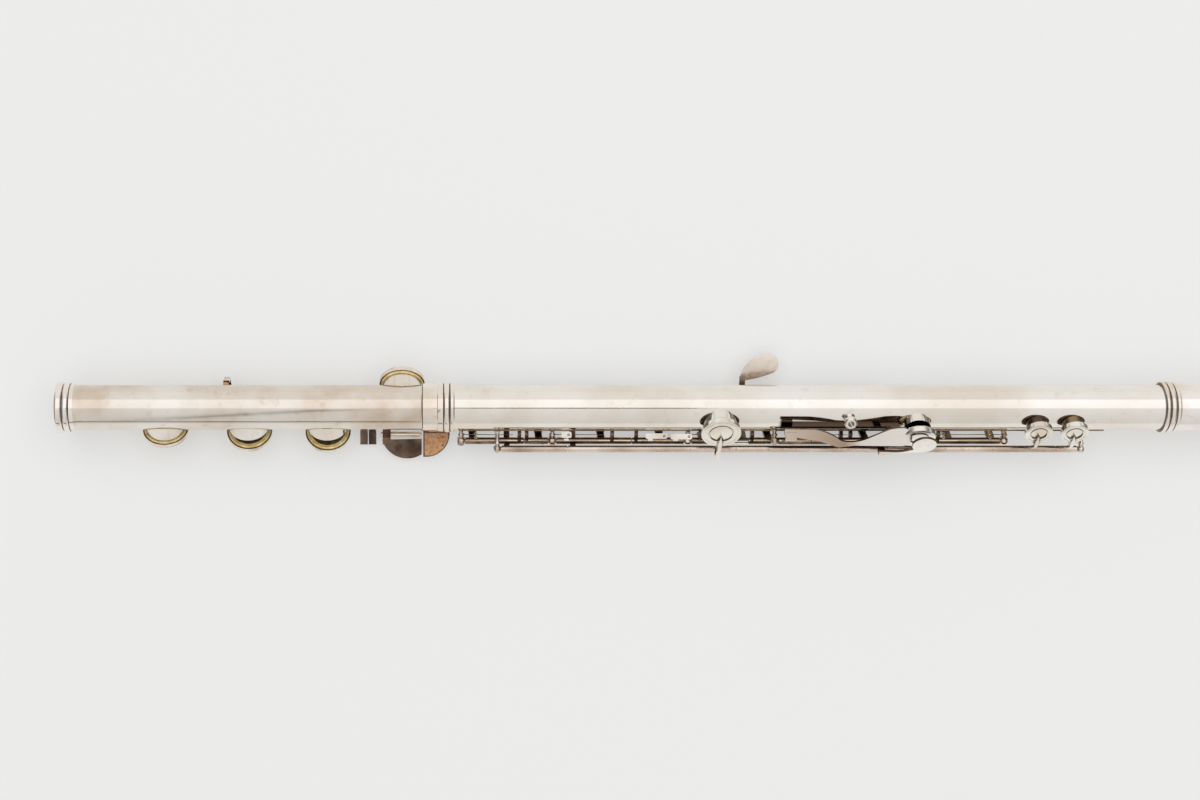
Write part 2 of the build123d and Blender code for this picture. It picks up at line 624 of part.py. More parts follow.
def thumb_b_key():
    # Back cup standing open, with a teardrop plate for the thumb and a long arm to its hinge.
    hinge = seen_from(THUMB_LINE, THUMB_TOUCH_ANGLE)
    middle = THUMB_TOUCH_REACH + PLATE_THICKNESS / 2
    rise = bent_strip(THUMB_POSTS[0] + 5.5, THUMB_TOUCH_ANGLE, 5.0, ARM_THICKNESS, 1.2, hinge,
                      (-6.5, middle), (-2.5, middle))
    start, tip, r = THUMB_POSTS[0] + 2.4, THUMB_TIP_X, THUMB_TOUCH_R
    round_x, side = tip + 22.1, -5.0
    dip, neck, crest = (tip - 4.2, -6.9), (tip + 7.7, -5.6), (tip + 16.7, -1.1)
    shoulder, heel, bend = (tip - 16.7, -1.2), (tip - 5.2, -10.2), (tip - 13.8, -7.0)
    outline = Curve() + [Line((start, -1.0), shoulder),
                         ThreePointArc(shoulder, (tip - 10.0, -3.2), dip),
                         ThreePointArc(dip, (tip + 2.0, -7.4), neck),
                         Line(neck, crest),
                         ThreePointArc(crest, (tip + 19.3, side + r - 0.15), (round_x, side + r)),
                         ThreePointArc((round_x, side + r), (round_x + r, side), (round_x, side - r)),
                         Line((round_x, side - r), (tip + 1.8, -9.3)),
                         Line((tip + 1.8, -9.3), heel),
                         Line(heel, bend),
                         Line(bend, (start, -4.4)),
                         Line((start, -4.4), (start, -1.0))]
    touch = flat_plate(outline, THUMB_TOUCH_ANGLE, THUMB_TOUCH_REACH, PLATE_THICKNESS)
    hollow = standing(THUMB_X, BACK_ANGLE, TUBE_R, pad_radius(THUMB_HOLE_R), CUP_TOP - CUP_WALL - TUBE_R)
    bowl = cup(THUMB_X, BACK_ANGLE, THUMB_HOLE_R, dished=True)
    bowl, hollow = (opened(shape, THUMB_LINE, BACK_ANGLE, THUMB_TRAVEL) for shape in (bowl, hollow))
    return hinged([bowl, touch - hollow, rise], THUMB_LINE,
                  THUMB_POSTS[0] + POST_HALF + HINGE_END_GAP, THUMB_SPLIT)


def thumb_b_flat_lever():
    # Comma-shaped thumb plate on its own hinge tube, its round head over the thumb cup.
    hinge = seen_from(THUMB_LINE, BACK_ANGLE)
    x, middle, r = THUMB_POSTS[1] - 4.2, LEVER_REACH + PLATE_THICKNESS / 2, LEVER_TOUCH_R
    riser = bent_strip(x, BACK_ANGLE, 3.2, PLATE_THICKNESS, 1.0, hinge, (-6.6, middle), (-4.4, middle))
    round_x, side = THUMB_X + 1.7, 1.0
    below, inner = (round_x + 0.5, side - r + 0.03), (round_x - 0.8 * r, side - 0.6 * r)
    outline = Curve() + [Line((x - 1.6, -6.2), below),
                         ThreePointArc(below, (round_x + r, side), (round_x, side + r)),
                         ThreePointArc((round_x, side + r), (round_x - r, side), inner),
                         ThreePointArc(inner, (round_x - 7.5, -3.6), (x + 2.0, -4.0)),
                         Line((x + 2.0, -4.0), (x - 1.6, -4.0)),
                         Line((x - 1.6, -4.0), (x - 1.6, -6.2))]
    moving = riser + flat_plate(outline, BACK_ANGLE, LEVER_REACH, PLATE_THICKNESS)
    return hinged([opened(moving, THUMB_LINE, BACK_ANGLE, LEVER_TRAVEL)], THUMB_LINE,
                  THUMB_SPLIT + HINGE_END_GAP,
                  THUMB_POSTS[1] - POST_HALF - HINGE_END_GAP)


def body_springs():
    long, short = SPRING_LENGTH, SPRING_LENGTH - 3
    main = [(0, 1, long), (1, -1, 8.0), (1, 1, long), (2, -1, long), (2, 1, 4.5), (3, -1, short),
            (3, 1, short),
            (4, -1, long), (5, -1, long)]
    return [needle(MAIN_POSTS[number], way, MAIN_LINE, length) for number, way, length in main]


# Head joint

HEAD_TOP_R = HEAD_TOP_BORE_R + TUBE_WALL


def head_radius(x):
    # Outer radius of the tapering head tube.
    share = min(max((x - TAPER_START) / (TAPER_END - TAPER_START), 0), 1)
    return TUBE_R + share * (HEAD_TOP_R - TUBE_R)


def lip_oval(length, width):
    return outward(LIP_X, 0) * Ellipse(length / 2, width / 2)


def lip_window(margin=0.0):
    # Rounded opening of the lip hole, grown by a margin.
    corner = LIP_HOLE_CORNER + margin
    outline = RectangleRounded(LIP_HOLE_LENGTH + 2 * margin, LIP_HOLE_WIDTH + 2 * margin, corner)
    return extrude(outward(LIP_X, 0) * outline, amount=2 * LIP_PLATE_R)


def head_tube():
    shell = turned((HEAD_START, BORE_R), (HEAD_START, TUBE_R), (TAPER_START, TUBE_R),
                   (TAPER_END, HEAD_TOP_R),
                   (HEAD_END, HEAD_TOP_R), (HEAD_END, HEAD_TOP_BORE_R), (TAPER_END, HEAD_TOP_BORE_R),
                   (TAPER_START, BORE_R))
    return shell - lip_window()


def lip_plate():
    # Saddle-shaped plate curved round the tube.
    half = LIP_PLATE_LENGTH / 2
    inner = LIP_PLATE_R - LIP_PLATE_WALL
    sleeve = turned((LIP_X - half, inner), (LIP_X - half, LIP_PLATE_R), (LIP_X + half, LIP_PLATE_R),
                    (LIP_X + half, inner))
    oval = extrude(lip_oval(LIP_PLATE_LENGTH, LIP_PLATE_WIDTH), amount=2 * LIP_PLATE_R)
    return (sleeve & oval) - lip_window()


def lip_riser():
    # Wall between tube and plate round the lip hole.
    half = LIP_PLATE_LENGTH / 2
    outer = LIP_PLATE_R - LIP_PLATE_WALL
    sleeve = turned((LIP_X - half, head_radius(LIP_X - half)), (LIP_X - half, outer),
                    (LIP_X + half, outer),
                    (LIP_X + half, head_radius(LIP_X + half)), (TAPER_END, HEAD_TOP_R))
    return (lip_window(RISER_WALL) & sleeve) - lip_window()


STOPPER_X = LIP_X + STOPPER_SETBACK
CORK_START = STOPPER_X + STOPPER_PLATE
CORK_END = CORK_START + STOPPER_CORK_LENGTH
SCREW_END = CROWN_END - CROWN_LENGTH / 3
PLATE_CLEARANCE = 0.3
AXIS_LINE = (0.0, 0.0)


def stopper_disc(x0, x1, radius):
    return along(x0, x1, AXIS_LINE, radius) - along(x0, x1, AXIS_LINE, STOPPER_SCREW_R + ROD_FIT)


def stopper_plates():
    r = HEAD_TOP_BORE_R - PLATE_CLEARANCE
    inner = along(STOPPER_X, CORK_START, AXIS_LINE, r)
    return [inner, stopper_disc(CORK_END, CORK_END + STOPPER_PLATE, r)]


def crown():
    # Turned cap that screws on the stopper's screw.
    x = HEAD_END + CROWN_GAP
    cap = turned((x, 0), (x, CROWN_R), (CROWN_END - CROWN_EDGE, CROWN_R),
                 (CROWN_END, CROWN_R - CROWN_EDGE),
                 (CROWN_END, 0))
    return cap - along(x, SCREW_END + 1.0, AXIS_LINE, STOPPER_SCREW_R + HINGE_GAP)


# Build

def build_foot():
    write("foot_tube", foot_tube())
    write("foot_socket", foot_socket())
    write("foot_end_ring", end_ring())
    write("foot_posts", *foot_posts())
    write("foot_rods", *foot_rods())
    write("foot_springs", *foot_springs())
    low_b = roller_key(LINE_C, B_ROLLER_X, LINE_C_START + POST_HALF + HINGE_END_GAP,
                       LINE_C_END - POST_HALF - HINGE_END_GAP, LOW_B_X)
    low_c = roller_key(LINE_B, C_ROLLER_X, LINE_B_START + POST_HALF + HINGE_END_GAP,
                       LINE_B_END - POST_HALF - HINGE_END_GAP, LOW_C_X)
    low_c = opened(low_c, LINE_B, FOOT_CUP_ANGLE, LOW_C_TRAVEL) + low_c_tail()
    low_c -= along(LINE_B_START, LINE_B_END, LINE_B, ROD_R + HINGE_GAP)
    write("low_b_key", opened(low_b, LINE_C, FOOT_CUP_ANGLE, LOW_B_REST))
    write("low_c_key", low_c)
    write("low_b_roller", opened(roller(B_ROLLER_X), LINE_C, FOOT_CUP_ANGLE, LOW_B_REST))
    write("low_c_roller", opened(roller(C_ROLLER_X), LINE_B, FOOT_CUP_ANGLE, LOW_C_TRAVEL))
    write("low_c_bumper", low_c_bumper())
    write("c_sharp_key", opened(c_sharp_key(), LINE_A, FOOT_CUP_ANGLE, C_SHARP_TRAVEL))
    write("e_flat_key", e_flat_key())
    write("e_flat_cork", e_flat_cork())
    write("low_b_pad", opened(pad(LOW_B_X, FOOT_CUP_ANGLE, FOOT_HOLE_R), LINE_C, FOOT_CUP_ANGLE,
                              LOW_B_REST))
    write("low_c_pad", opened(pad(LOW_C_X, FOOT_CUP_ANGLE, FOOT_HOLE_R), LINE_B, FOOT_CUP_ANGLE,
                              LOW_C_TRAVEL))
    write("c_sharp_pad", opened(pad(C_SHARP_X, FOOT_CUP_ANGLE, FOOT_HOLE_R), LINE_A, FOOT_CUP_ANGLE,
                                C_SHARP_TRAVEL))
    write("e_flat_pad", pad(E_FLAT_X, E_FLAT_ANGLE, FOOT_HOLE_R))


def build_body():
    write("body_tube", body_tube())
    write("body_rib", body_rib())
    write("body_posts", *body_posts(), thumb_stud())
    write("barrel", barrel())
    write("right_hand_rods", *rods_between(MAIN_POSTS[:3], MAIN_LINE))
    write("left_hand_rods", *rods_between(MAIN_POSTS[2:], MAIN_LINE))
    write("thumb_rod", *rods_between(THUMB_POSTS, THUMB_LINE))
    write("body_springs", *body_springs())
    edge = POST_HALF + HINGE_END_GAP
    posts = MAIN_POSTS
    split_d, split_f = between(0, 1) + 8.0, between(2, 3)
    split_g, split_paddle = LOWER_G_X - 3.6 - HINGE_END_GAP, between(4, 5) + 2.2 + HINGE_END_GAP
    split_a = between(6, 7)
    write("d_key", main_key(D_X, LOW_HOLE_R, posts[0] + edge, split_d, split_d - 2))
    write("e_key", main_key(E_X, LOW_HOLE_R, split_d + HINGE_END_GAP, posts[1] - edge, split_d + 1.2))
    write("f_key", main_key(F_X, LOW_HOLE_R, posts[1] + edge, split_f, F_X + 4.5))
    write("f_sharp_key", main_key(F_SHARP_X, LOW_HOLE_R, split_f + HINGE_END_GAP, posts[2] - edge,
                                  split_f + 2))
    write("lower_g_key", main_key(LOWER_G_X, MID_HOLE_R, posts[2] + edge, split_g, split_g - 1.0,
                                  root_shift=-6.2))
    write("g_key", main_key(G_X, MID_HOLE_R, split_paddle, posts[3] - edge, split_paddle + 1.2))
    write("a_key", main_key(A_X, MID_HOLE_R, posts[3] + edge, split_a, split_a - 1.2))
    write("b_flat_key", main_key(B_FLAT_X, MID_HOLE_R, split_a + HINGE_END_GAP, posts[4] - edge,
                                 split_a + 3))
    write("c_key", main_key(C_X, C_HOLE_R, posts[4] + edge, posts[5] - edge, posts[4] + edge + 2,
                            travel=SMALL_TRAVEL, extras=[c_touch()]))
    for step, name in enumerate(("d", "e", "f", "f_sharp")):
        write(name + "_pad", main_pad(hole_x(step), LOW_HOLE_R))
    for step, name in enumerate(("lower_g", "g", "a", "b_flat"), 4):
        write(name + "_pad", main_pad(hole_x(step), MID_HOLE_R))
    write("c_pad", main_pad(C_X, C_HOLE_R, SMALL_TRAVEL))
    write("g_sharp_key", g_sharp_key())
    write("g_sharp_pad", pad(LOWER_G_X, BACK_ANGLE, MID_HOLE_R))
    write("d_trill_key", d_trill_key())
    write("d_trill_pad", pad(D_TRILL_X, BACK_ANGLE, TRILL_HOLE_R))
    write("d_sharp_trill_key", d_sharp_trill_key())
    write("d_sharp_trill_pad", pad(D_SHARP_TRILL_X, BACK_ANGLE, TRILL_HOLE_R))
    write("thumb_b_key", thumb_b_key())
    write("thumb_b_pad", opened(pad(THUMB_X, BACK_ANGLE, THUMB_HOLE_R), THUMB_LINE, BACK_ANGLE,
                                THUMB_TRAVEL))
    write("thumb_b_flat_lever", thumb_b_flat_lever())


def build_head():
    write("head_tube", head_tube())
    write("lip_plate", lip_plate())
    write("lip_riser", lip_riser())
    write("stopper_plates", *stopper_plates())
    write("stopper_cork", stopper_disc(CORK_START, CORK_END, HEAD_TOP_BORE_R - STOPPER_GAP))
    write("stopper_screw", along(CORK_START, SCREW_END, AXIS_LINE, STOPPER_SCREW_R))
    write("crown", crown())


os.makedirs("parts", exist_ok=True)
build_foot()
build_body()
build_head()
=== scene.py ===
import json
from math import acos, cos, hypot, pi, radians, sin

import bmesh
import bpy
from mathutils import Matrix, Vector


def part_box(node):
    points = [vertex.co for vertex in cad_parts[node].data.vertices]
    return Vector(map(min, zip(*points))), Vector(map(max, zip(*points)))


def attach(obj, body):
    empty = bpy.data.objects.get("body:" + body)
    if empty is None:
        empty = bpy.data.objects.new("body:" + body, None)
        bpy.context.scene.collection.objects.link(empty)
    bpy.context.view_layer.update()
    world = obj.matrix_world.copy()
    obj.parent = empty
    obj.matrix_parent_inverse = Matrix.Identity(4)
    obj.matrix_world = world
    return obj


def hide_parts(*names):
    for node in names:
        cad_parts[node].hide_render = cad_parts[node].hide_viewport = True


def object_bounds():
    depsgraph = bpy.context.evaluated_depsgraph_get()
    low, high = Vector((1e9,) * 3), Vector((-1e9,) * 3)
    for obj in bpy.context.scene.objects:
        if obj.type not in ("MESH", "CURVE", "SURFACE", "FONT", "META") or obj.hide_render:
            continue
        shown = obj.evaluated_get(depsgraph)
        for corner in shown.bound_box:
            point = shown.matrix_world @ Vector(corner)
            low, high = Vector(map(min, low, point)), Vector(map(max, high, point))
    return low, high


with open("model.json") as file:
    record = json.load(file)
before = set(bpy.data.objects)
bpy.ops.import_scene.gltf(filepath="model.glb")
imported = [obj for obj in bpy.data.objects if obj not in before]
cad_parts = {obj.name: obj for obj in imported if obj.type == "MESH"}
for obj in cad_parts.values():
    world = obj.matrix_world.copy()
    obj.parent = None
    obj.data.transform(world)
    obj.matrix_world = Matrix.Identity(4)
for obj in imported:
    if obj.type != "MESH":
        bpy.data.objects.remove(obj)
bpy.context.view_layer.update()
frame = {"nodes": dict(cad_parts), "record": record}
nodes = frame["nodes"]
bodyOf = {node: body for body, members in frame["record"]["behaviour"]["bodies"].items()
          for node in members}
mm = 0.001
perMetre = 1000  # millimetres, for the scale of a pattern
print("frame loaded:", len(nodes), "nodes")


def linear(hexColour):
    channels = [int(hexColour[i:i + 2], 16) / 255 for i in (0, 2, 4)]
    return [c / 12.92 if c <= 0.04045 else ((c + 0.055) / 1.055) ** 2.4 for c in channels] + [1.0]


def setValues(node, values):
    for name, value in values.items():
        node.inputs[name].default_value = value


def setLinks(tree, node, links):
    for name, (source, output) in links.items():
        tree.links.new(source.outputs[output], node.inputs[name])


def addNode(tree, kind, settings=None, values=None, links=None):
    node = tree.nodes.new("ShaderNode" + kind)
    for name, value in (settings or {}).items():
        setattr(node, name, value)
    setValues(node, values or {})
    setLinks(tree, node, links or {})
    return node


def newMaterial(name):
    material = bpy.data.materials.new(name)
    material.use_nodes = True
    tree = material.node_tree
    place = {"Vector": (addNode(tree, "TexCoord"), "Object")}
    return material, tree, tree.nodes["Principled BSDF"], place


def setRamp(ramp, stops):
    colours = ramp.color_ramp.elements
    colours[0].position, colours[0].color = stops[0][0], linear(stops[0][1])
    colours[1].position, colours[1].color = stops[-1][0], linear(stops[-1][1])
    for position, colour in stops[1:-1]:
        colours.new(position).color = linear(colour)


def paintedShadeUnderPlate(tree, place, clean, plateShade):
    # Painted shadow on the tube beneath the thumb plate: a dark brown band standing for the plate's
    # shadow and its reflection in the tube.
    split = addNode(tree, "SeparateXYZ", links=place)
    half = (plateShade["x1"] - plateShade["x0"]) / 2
    fromMiddle = addNode(tree, "Math", {"operation": "SUBTRACT"}, {1: (plateShade["x0"] + half) * mm},
        {0: (split, "X")})
    away = addNode(tree, "Math", {"operation": "ABSOLUTE"}, links={0: (fromMiddle, "Value")})
    along = addNode(tree, "MapRange", {"interpolation_type": "SMOOTHSTEP"},
        {"From Min": (half - plateShade["inside"]) * mm, "From Max": (half + plateShade["outside"]) * mm,
        "To Min": 1.0, "To Max": 0.0}, {"Value": (away, "Value")})
    down = addNode(tree, "MapRange", {"interpolation_type": "SMOOTHSTEP"},
        {"From Min": plateShade["soft"] * mm, "From Max": plateShade["dark"] * mm}, {"Value": (split, "Y")})
    share = addNode(tree, "Math", {"operation": "MULTIPLY"},
        links={0: (along, "Result"), 1: (down, "Result")})
    return addNode(tree, "MixRGB", values={"Color2": linear(plateShade["colour"])},
        links={"Fac": (share, "Value"), "Color1": (clean, "Color")})


plateLook = {"clouds": (0.34, 0.50, 0.66), "spotFrom": 0.60, "spotTo": 0.78, "across": 2600,
             "wipeHeight": 0.00003}


def silverPlate(name, settings, plateShade=None):
    # Silver plate on nickel silver, buffed along the tube and then handled: bright, a little
    # warm, with soft tarnish clouds and hair-fine wipe marks that only soften the reflections.
    material, tree, shader, place = newMaterial(name)
    cloud = addNode(tree, "TexNoise", values={"Scale": perMetre / settings["cloudMm"],
        "Detail": 3.0, "Roughness": 0.55}, links=place)
    tint = addNode(tree, "ValToRGB", links={"Fac": (cloud, "Fac")})
    setRamp(tint, list(zip(plateLook["clouds"], settings["tones"])))
    spots = addNode(tree, "TexNoise",
        values={"Scale": perMetre / settings["spotMm"], "Detail": 2.0}, links=place)
    spotShare = addNode(tree, "MapRange", values={"From Min": plateLook["spotFrom"],
        "From Max": plateLook["spotTo"], "To Max": settings["spots"]},
        links={"Value": (spots, "Fac")})
    mixed = addNode(tree, "MixRGB", values={"Color2": linear(settings["spot"])},
        links={"Fac": (spotShare, "Result"), "Color1": (tint, "Color")})
    if plateShade:
        mixed = paintedShadeUnderPlate(tree, place, mixed, plateShade)
    stretch = addNode(tree, "Mapping", values={"Scale": (perMetre / settings["wipeMm"],
        plateLook["across"], plateLook["across"])}, links=place)
    wipe = addNode(tree, "TexNoise", values={"Scale": 1.0, "Detail": 3.0},
        links={"Vector": (stretch, "Vector")})
    gloss = addNode(tree, "MapRange", values={"To Min": settings["glossy"],
        "To Max": settings["dull"]}, links={"Value": (cloud, "Fac")})
    bump = addNode(tree, "Bump", values={"Strength": settings["bump"],
        "Distance": plateLook["wipeHeight"]}, links={"Height": (wipe, "Fac")})
    setLinks(tree, shader, {"Base Color": (mixed, "Color"), "Roughness": (gloss, "Result"),
        "Normal": (bump, "Normal")})
    setValues(shader, {"Metallic": 1.0})
    return material


# The dark tones are tarnish with painted shade; the streak is a painted highlight.
hingeShadeAndHighlight = {"shift": 0.00015, "bright": 0.00012, "dark": 0.00048, "share": 0.85,
            "below": 0.0002, "above": 0.0008, "streak": "F0D9B8",
            "tones": [(0.35, "54443A"), (0.52, "705B4D"), (0.68, "927B6A")]}


def tarnishShadeAndHighlightTube(name, line):
    # Hinge tubes darkened partly by sulphide tarnish and partly by painted shade, with a painted
    # highlight along their backs: a gold-brown streak between two dark sides.
    material, tree, shader, place = newMaterial(name)
    cloud = addNode(tree, "TexNoise", values={"Scale": 240.0, "Detail": 4.0}, links=place)
    dark = addNode(tree, "ValToRGB", links={"Fac": (cloud, "Fac")})
    setRamp(dark, hingeShadeAndHighlight["tones"])
    split = addNode(tree, "SeparateXYZ", links=place)
    fromRidge = addNode(tree, "Math", {"operation": "ADD"}, {1: line[0] - hingeShadeAndHighlight["shift"]},
        {0: (split, "Y")})
    width = addNode(tree, "Math", {"operation": "ABSOLUTE"}, links={0: (fromRidge, "Value")})
    paintedStreak = addNode(tree, "MapRange", {"interpolation_type": "SMOOTHSTEP"},
        {"From Min": hingeShadeAndHighlight["bright"], "From Max": hingeShadeAndHighlight["dark"], "To Min": hingeShadeAndHighlight["share"],
        "To Max": 0.0}, {"Value": (width, "Value")})
    above = addNode(tree, "MapRange", values={"From Min": -line[1] - hingeShadeAndHighlight["below"],
        "From Max": -line[1] + hingeShadeAndHighlight["above"]}, links={"Value": (split, "Z")})
    share = addNode(tree, "Math", {"operation": "MULTIPLY"},
        links={0: (paintedStreak, "Result"), 1: (above, "Result")})
    mixed = addNode(tree, "MixRGB", values={"Color2": linear(hingeShadeAndHighlight["streak"])},
        links={"Fac": (share, "Value"), "Color1": (dark, "Color")})
    setLinks(tree, shader, {"Base Color": (mixed, "Color")})
    setValues(shader, {"Metallic": 1.0, "Roughness": 0.26})
    return material


def gradedPlate(name, axis, startMm, endMm, stops, wanderMm):
    # Silver plate whose colour runs along one axis through the given stops, its boundary moved
    # about by a cloud.
    material, tree, shader, place = newMaterial(name)
    split = addNode(tree, "SeparateXYZ", links=place)
    cloud = addNode(tree, "TexNoise", values={"Scale": 350.0, "Detail": 4.0}, links=place)
    wander = addNode(tree, "Math", {"operation": "MULTIPLY_ADD"}, {1: wanderMm * mm},
        {0: (cloud, "Fac"), 2: (split, axis)})
    middleMm = wanderMm / 2  # the cloud's middle value moves the reach by this much
    reach = addNode(tree, "MapRange", values={"From Min": (startMm + middleMm) * mm,
        "From Max": (endMm + middleMm) * mm}, links={"Value": (wander, "Value")})
    tint = addNode(tree, "ValToRGB", links={"Fac": (reach, "Result")})
    setRamp(tint, stops)
    setLinks(tree, shader, {"Base Color": (tint, "Color")})
    setValues(shader, {"Metallic": 1.0, "Roughness": 0.26})
    return material


def drawnSteel(name):
    # Drawn steel rod, ground bright along its length and darkened by oil: a grey line between
    # the posts.
    material, tree, shader, place = newMaterial(name)
    stretch = addNode(tree, "Mapping", values={"Scale": (120, 3000, 3000)}, links=place)
    grind = addNode(tree, "TexNoise", values={"Scale": 1.0, "Detail": 2.0},
        links={"Vector": (stretch, "Vector")})
    tint = addNode(tree, "ValToRGB", links={"Fac": (grind, "Fac")})
    setRamp(tint, [(0.3, "5E534B"), (0.7, "93877B")])
    setLinks(tree, shader, {"Base Color": (tint, "Color")})
    setValues(shader, {"Metallic": 1.0, "Roughness": 0.28})
    return material


def bronzeWire(name):
    # Phosphor bronze wire, drawn and left to tone: a warm gold line with a slightly brown side.
    material, tree, shader, place = newMaterial(name)
    tone = addNode(tree, "TexNoise", values={"Scale": 400.0, "Detail": 2.0}, links=place)
    tint = addNode(tree, "ValToRGB", links={"Fac": (tone, "Fac")})
    setRamp(tint, [(0.35, "B99A72"), (0.65, "E8D2AE")])
    setLinks(tree, shader, {"Base Color": (tint, "Color")})
    setValues(shader, {"Metallic": 1.0, "Roughness": 0.3})
    return material


def padSkin(name, colours):
    # Fish skin stretched over a felt pad: a yellow, slightly waxy film, wrinkled where it is
    # gathered.
    material, tree, shader, place = newMaterial(name)
    cloud = addNode(tree, "TexNoise", values={"Scale": 350.0, "Detail": 4.0}, links=place)
    tint = addNode(tree, "ValToRGB", links={"Fac": (cloud, "Fac")})
    setRamp(tint, colours)
    wrinkle = addNode(tree, "TexVoronoi", {"feature": "DISTANCE_TO_EDGE"}, {"Scale": 900.0}, place)
    bump = addNode(tree, "Bump", values={"Strength": 0.25, "Distance": 0.0001},
        links={"Height": (wrinkle, "Distance")})
    setLinks(tree, shader, {"Base Color": (tint, "Color"), "Normal": (bump, "Normal")})
    setValues(shader, {"Roughness": 0.42, "Subsurface Weight": 0.2,
        "Subsurface Radius": (0.0008, 0.0005, 0.0002)})
    return material


def naturalCork(name, settings):
    # Cork, sliced and sanded: dry orange brown with darker bark flecks one to two millimetres
    # long.
    material, tree, shader, place = newMaterial(name)
    grain = addNode(tree, "TexNoise", values={"Scale": perMetre / settings["grainMm"],
        "Detail": 5.0, "Roughness": 0.65}, links=place)
    tint = addNode(tree, "ValToRGB", links={"Fac": (grain, "Fac")})
    setRamp(tint, list(zip((0.30, 0.48, 0.72), settings["tones"])))
    pits = addNode(tree, "TexVoronoi", values={"Scale": perMetre / settings["pitMm"]}, links=place)
    pitShare = addNode(tree, "MapRange", values={"From Min": 0.10, "From Max": 0.24, "To Min": 0.85,
        "To Max": 0.0}, links={"Value": (pits, "Distance")})
    mixed = addNode(tree, "MixRGB", values={"Color2": linear(settings["pit"])},
        links={"Fac": (pitShare, "Result"), "Color1": (tint, "Color")})
    bump = addNode(tree, "Bump", values={"Strength": 0.5, "Distance": 0.0001},
        links={"Height": (grain, "Fac")})
    setLinks(tree, shader, {"Base Color": (mixed, "Color"), "Normal": (bump, "Normal")})
    setValues(shader, {"Roughness": 0.85})
    return material


tubeSilver = silverPlate("silverPlateBuffedTube",
    {"cloudMm": 38, "spotMm": 4.5, "wipeMm": 14, "tones": ("EBE0D3", "F3ECE2", "F7F3EC"),
    "spot": "CDB8A2", "spots": 0.20, "glossy": 0.05, "dull": 0.13, "bump": 0.05},
    # the band painted under the thumb plate: painted shadow and reflection
    {"x0": 318, "x1": 371, "inside": 1.0, "outside": 1.5, "soft": -5.6, "dark": -6.5,
    "colour": "5A483C"})
footSilver = silverPlate("silverPlateBuffedFootJoint",
    {"cloudMm": 30, "spotMm": 5.0, "wipeMm": 12, "tones": ("D6C3B0", "E6DBCE", "EFE8DF"),
    "spot": "BC9F84", "spots": 0.30, "glossy": 0.06, "dull": 0.16, "bump": 0.06})
ringSilver = silverPlate("silverPlateTurnedRing",
    {"cloudMm": 22, "spotMm": 2.6, "wipeMm": 3, "tones": ("E8D9C8", "F4EBE1", "F9F3ED"),
    "spot": "B89E86", "spots": 0.2, "glossy": 0.05, "dull": 0.12, "bump": 0.04})
keySilver = silverPlate("silverPlateHandledKey",
    {"cloudMm": 9, "spotMm": 1.8, "wipeMm": 5, "tones": ("C9B39D", "E9DCCD", "F6EFE6"),
    "spot": "8F7761", "spots": 0.45, "glossy": 0.07, "dull": 0.18, "bump": 0.05})
touchSilver = silverPlate("silverPlateWornTouch",
    {"cloudMm": 14, "spotMm": 2.2, "wipeMm": 4, "tones": ("E6DACB", "F4EEE3", "FBF8F1"),
    "spot": "B8A48F", "spots": 0.25, "glossy": 0.12, "dull": 0.24, "bump": 0.06})
postSilver = silverPlate("silverPlateCastPost",
    {"cloudMm": 5, "spotMm": 1.2, "wipeMm": 3, "tones": ("A48D7A", "DCCBBB", "F4EADF"),
    "spot": "5E4D41", "spots": 0.5, "glossy": 0.10, "dull": 0.24, "bump": 0.06})
trillSilver = silverPlate("silverPlateDrawnKeyTube",
    {"cloudMm": 22, "spotMm": 1.6, "wipeMm": 9, "tones": ("A98F7C", "D3BCAA", "E9D9CB"),
    "spot": "6B574A", "spots": 0.5, "glossy": 0.12, "dull": 0.26, "bump": 0.05})
rodSteel = drawnSteel("steelDrawnRod")
paddleSilver = gradedPlate("silverPlateFingeredPaddle", "Y", 11.0, 24.0,
    [(0.0, "6E5F50"), (0.22, "8F7D6C"), (0.42, "CDBDAE"), (0.9, "E4D9CE")], 6.0)
thumbSilver = gradedPlate("silverPlateFingeredThumbPlate", "X", 316.0, 372.0,
    [(0.0, "E2D2C2"), (0.30, "CDB6A2"), (0.52, "B79E89"), (0.60, "DCCBBB"), (0.64, "F3EBE0"),
    (0.95, "F9F4EB")], 3.0)
springWire = bronzeWire("phosphorBronzeDrawnSpring")
padFilm = padSkin("fishSkinStretchedPad", [(0.32, "CBAB66"), (0.5, "E4CA8A"), (0.7, "F3E4BC")])
# Dark pad skin: painted shade.
padShadeFilm = padSkin("fishSkinSeatedPad", [(0.32, "3A2E1C"), (0.5, "54452C"), (0.7, "6E5C3E")])
corkSheet = naturalCork("corkSlicedSheet",
    {"grainMm": 1.4, "pitMm": 2.6, "tones": ("94663F", "BE8D64", "D2A880"), "pit": "5A3E2B"})
# Each hinge line's place, as (-Y, -Z) in metres.
mainLine, trillLine, thumbLine = (0.0149, 0.0075), (0.0185, 0.0045), (0.0149, -0.0005)
hingeTarnishShadeAndHighlight = tarnishShadeAndHighlightTube("silverPlateBlackenedHinge", mainLine)
thumbHingeTarnishShadeAndHighlight = tarnishShadeAndHighlightTube("silverPlateBlackenedThumbHinge", thumbLine)
# Dark rib finish: tarnish with painted shade under the mechanism.
ribTarnishAndShade = silverPlate("silverPlateTarnishedRib",
    {"cloudMm": 30, "spotMm": 2.0, "wipeMm": 8, "tones": ("54443A", "7C6652", "A58C6C"),
    "spot": "3A2E27", "spots": 0.5, "glossy": 0.14, "dull": 0.28, "bump": 0.05})
brassTurned = silverPlate("brassTurnedUnlacquered",
    {"cloudMm": 3, "spotMm": 1.0, "wipeMm": 2, "tones": ("A17C48", "D9B777", "F2D9A0"),
    "spot": "5C4427", "spots": 0.4, "glossy": 0.12, "dull": 0.24, "bump": 0.04})
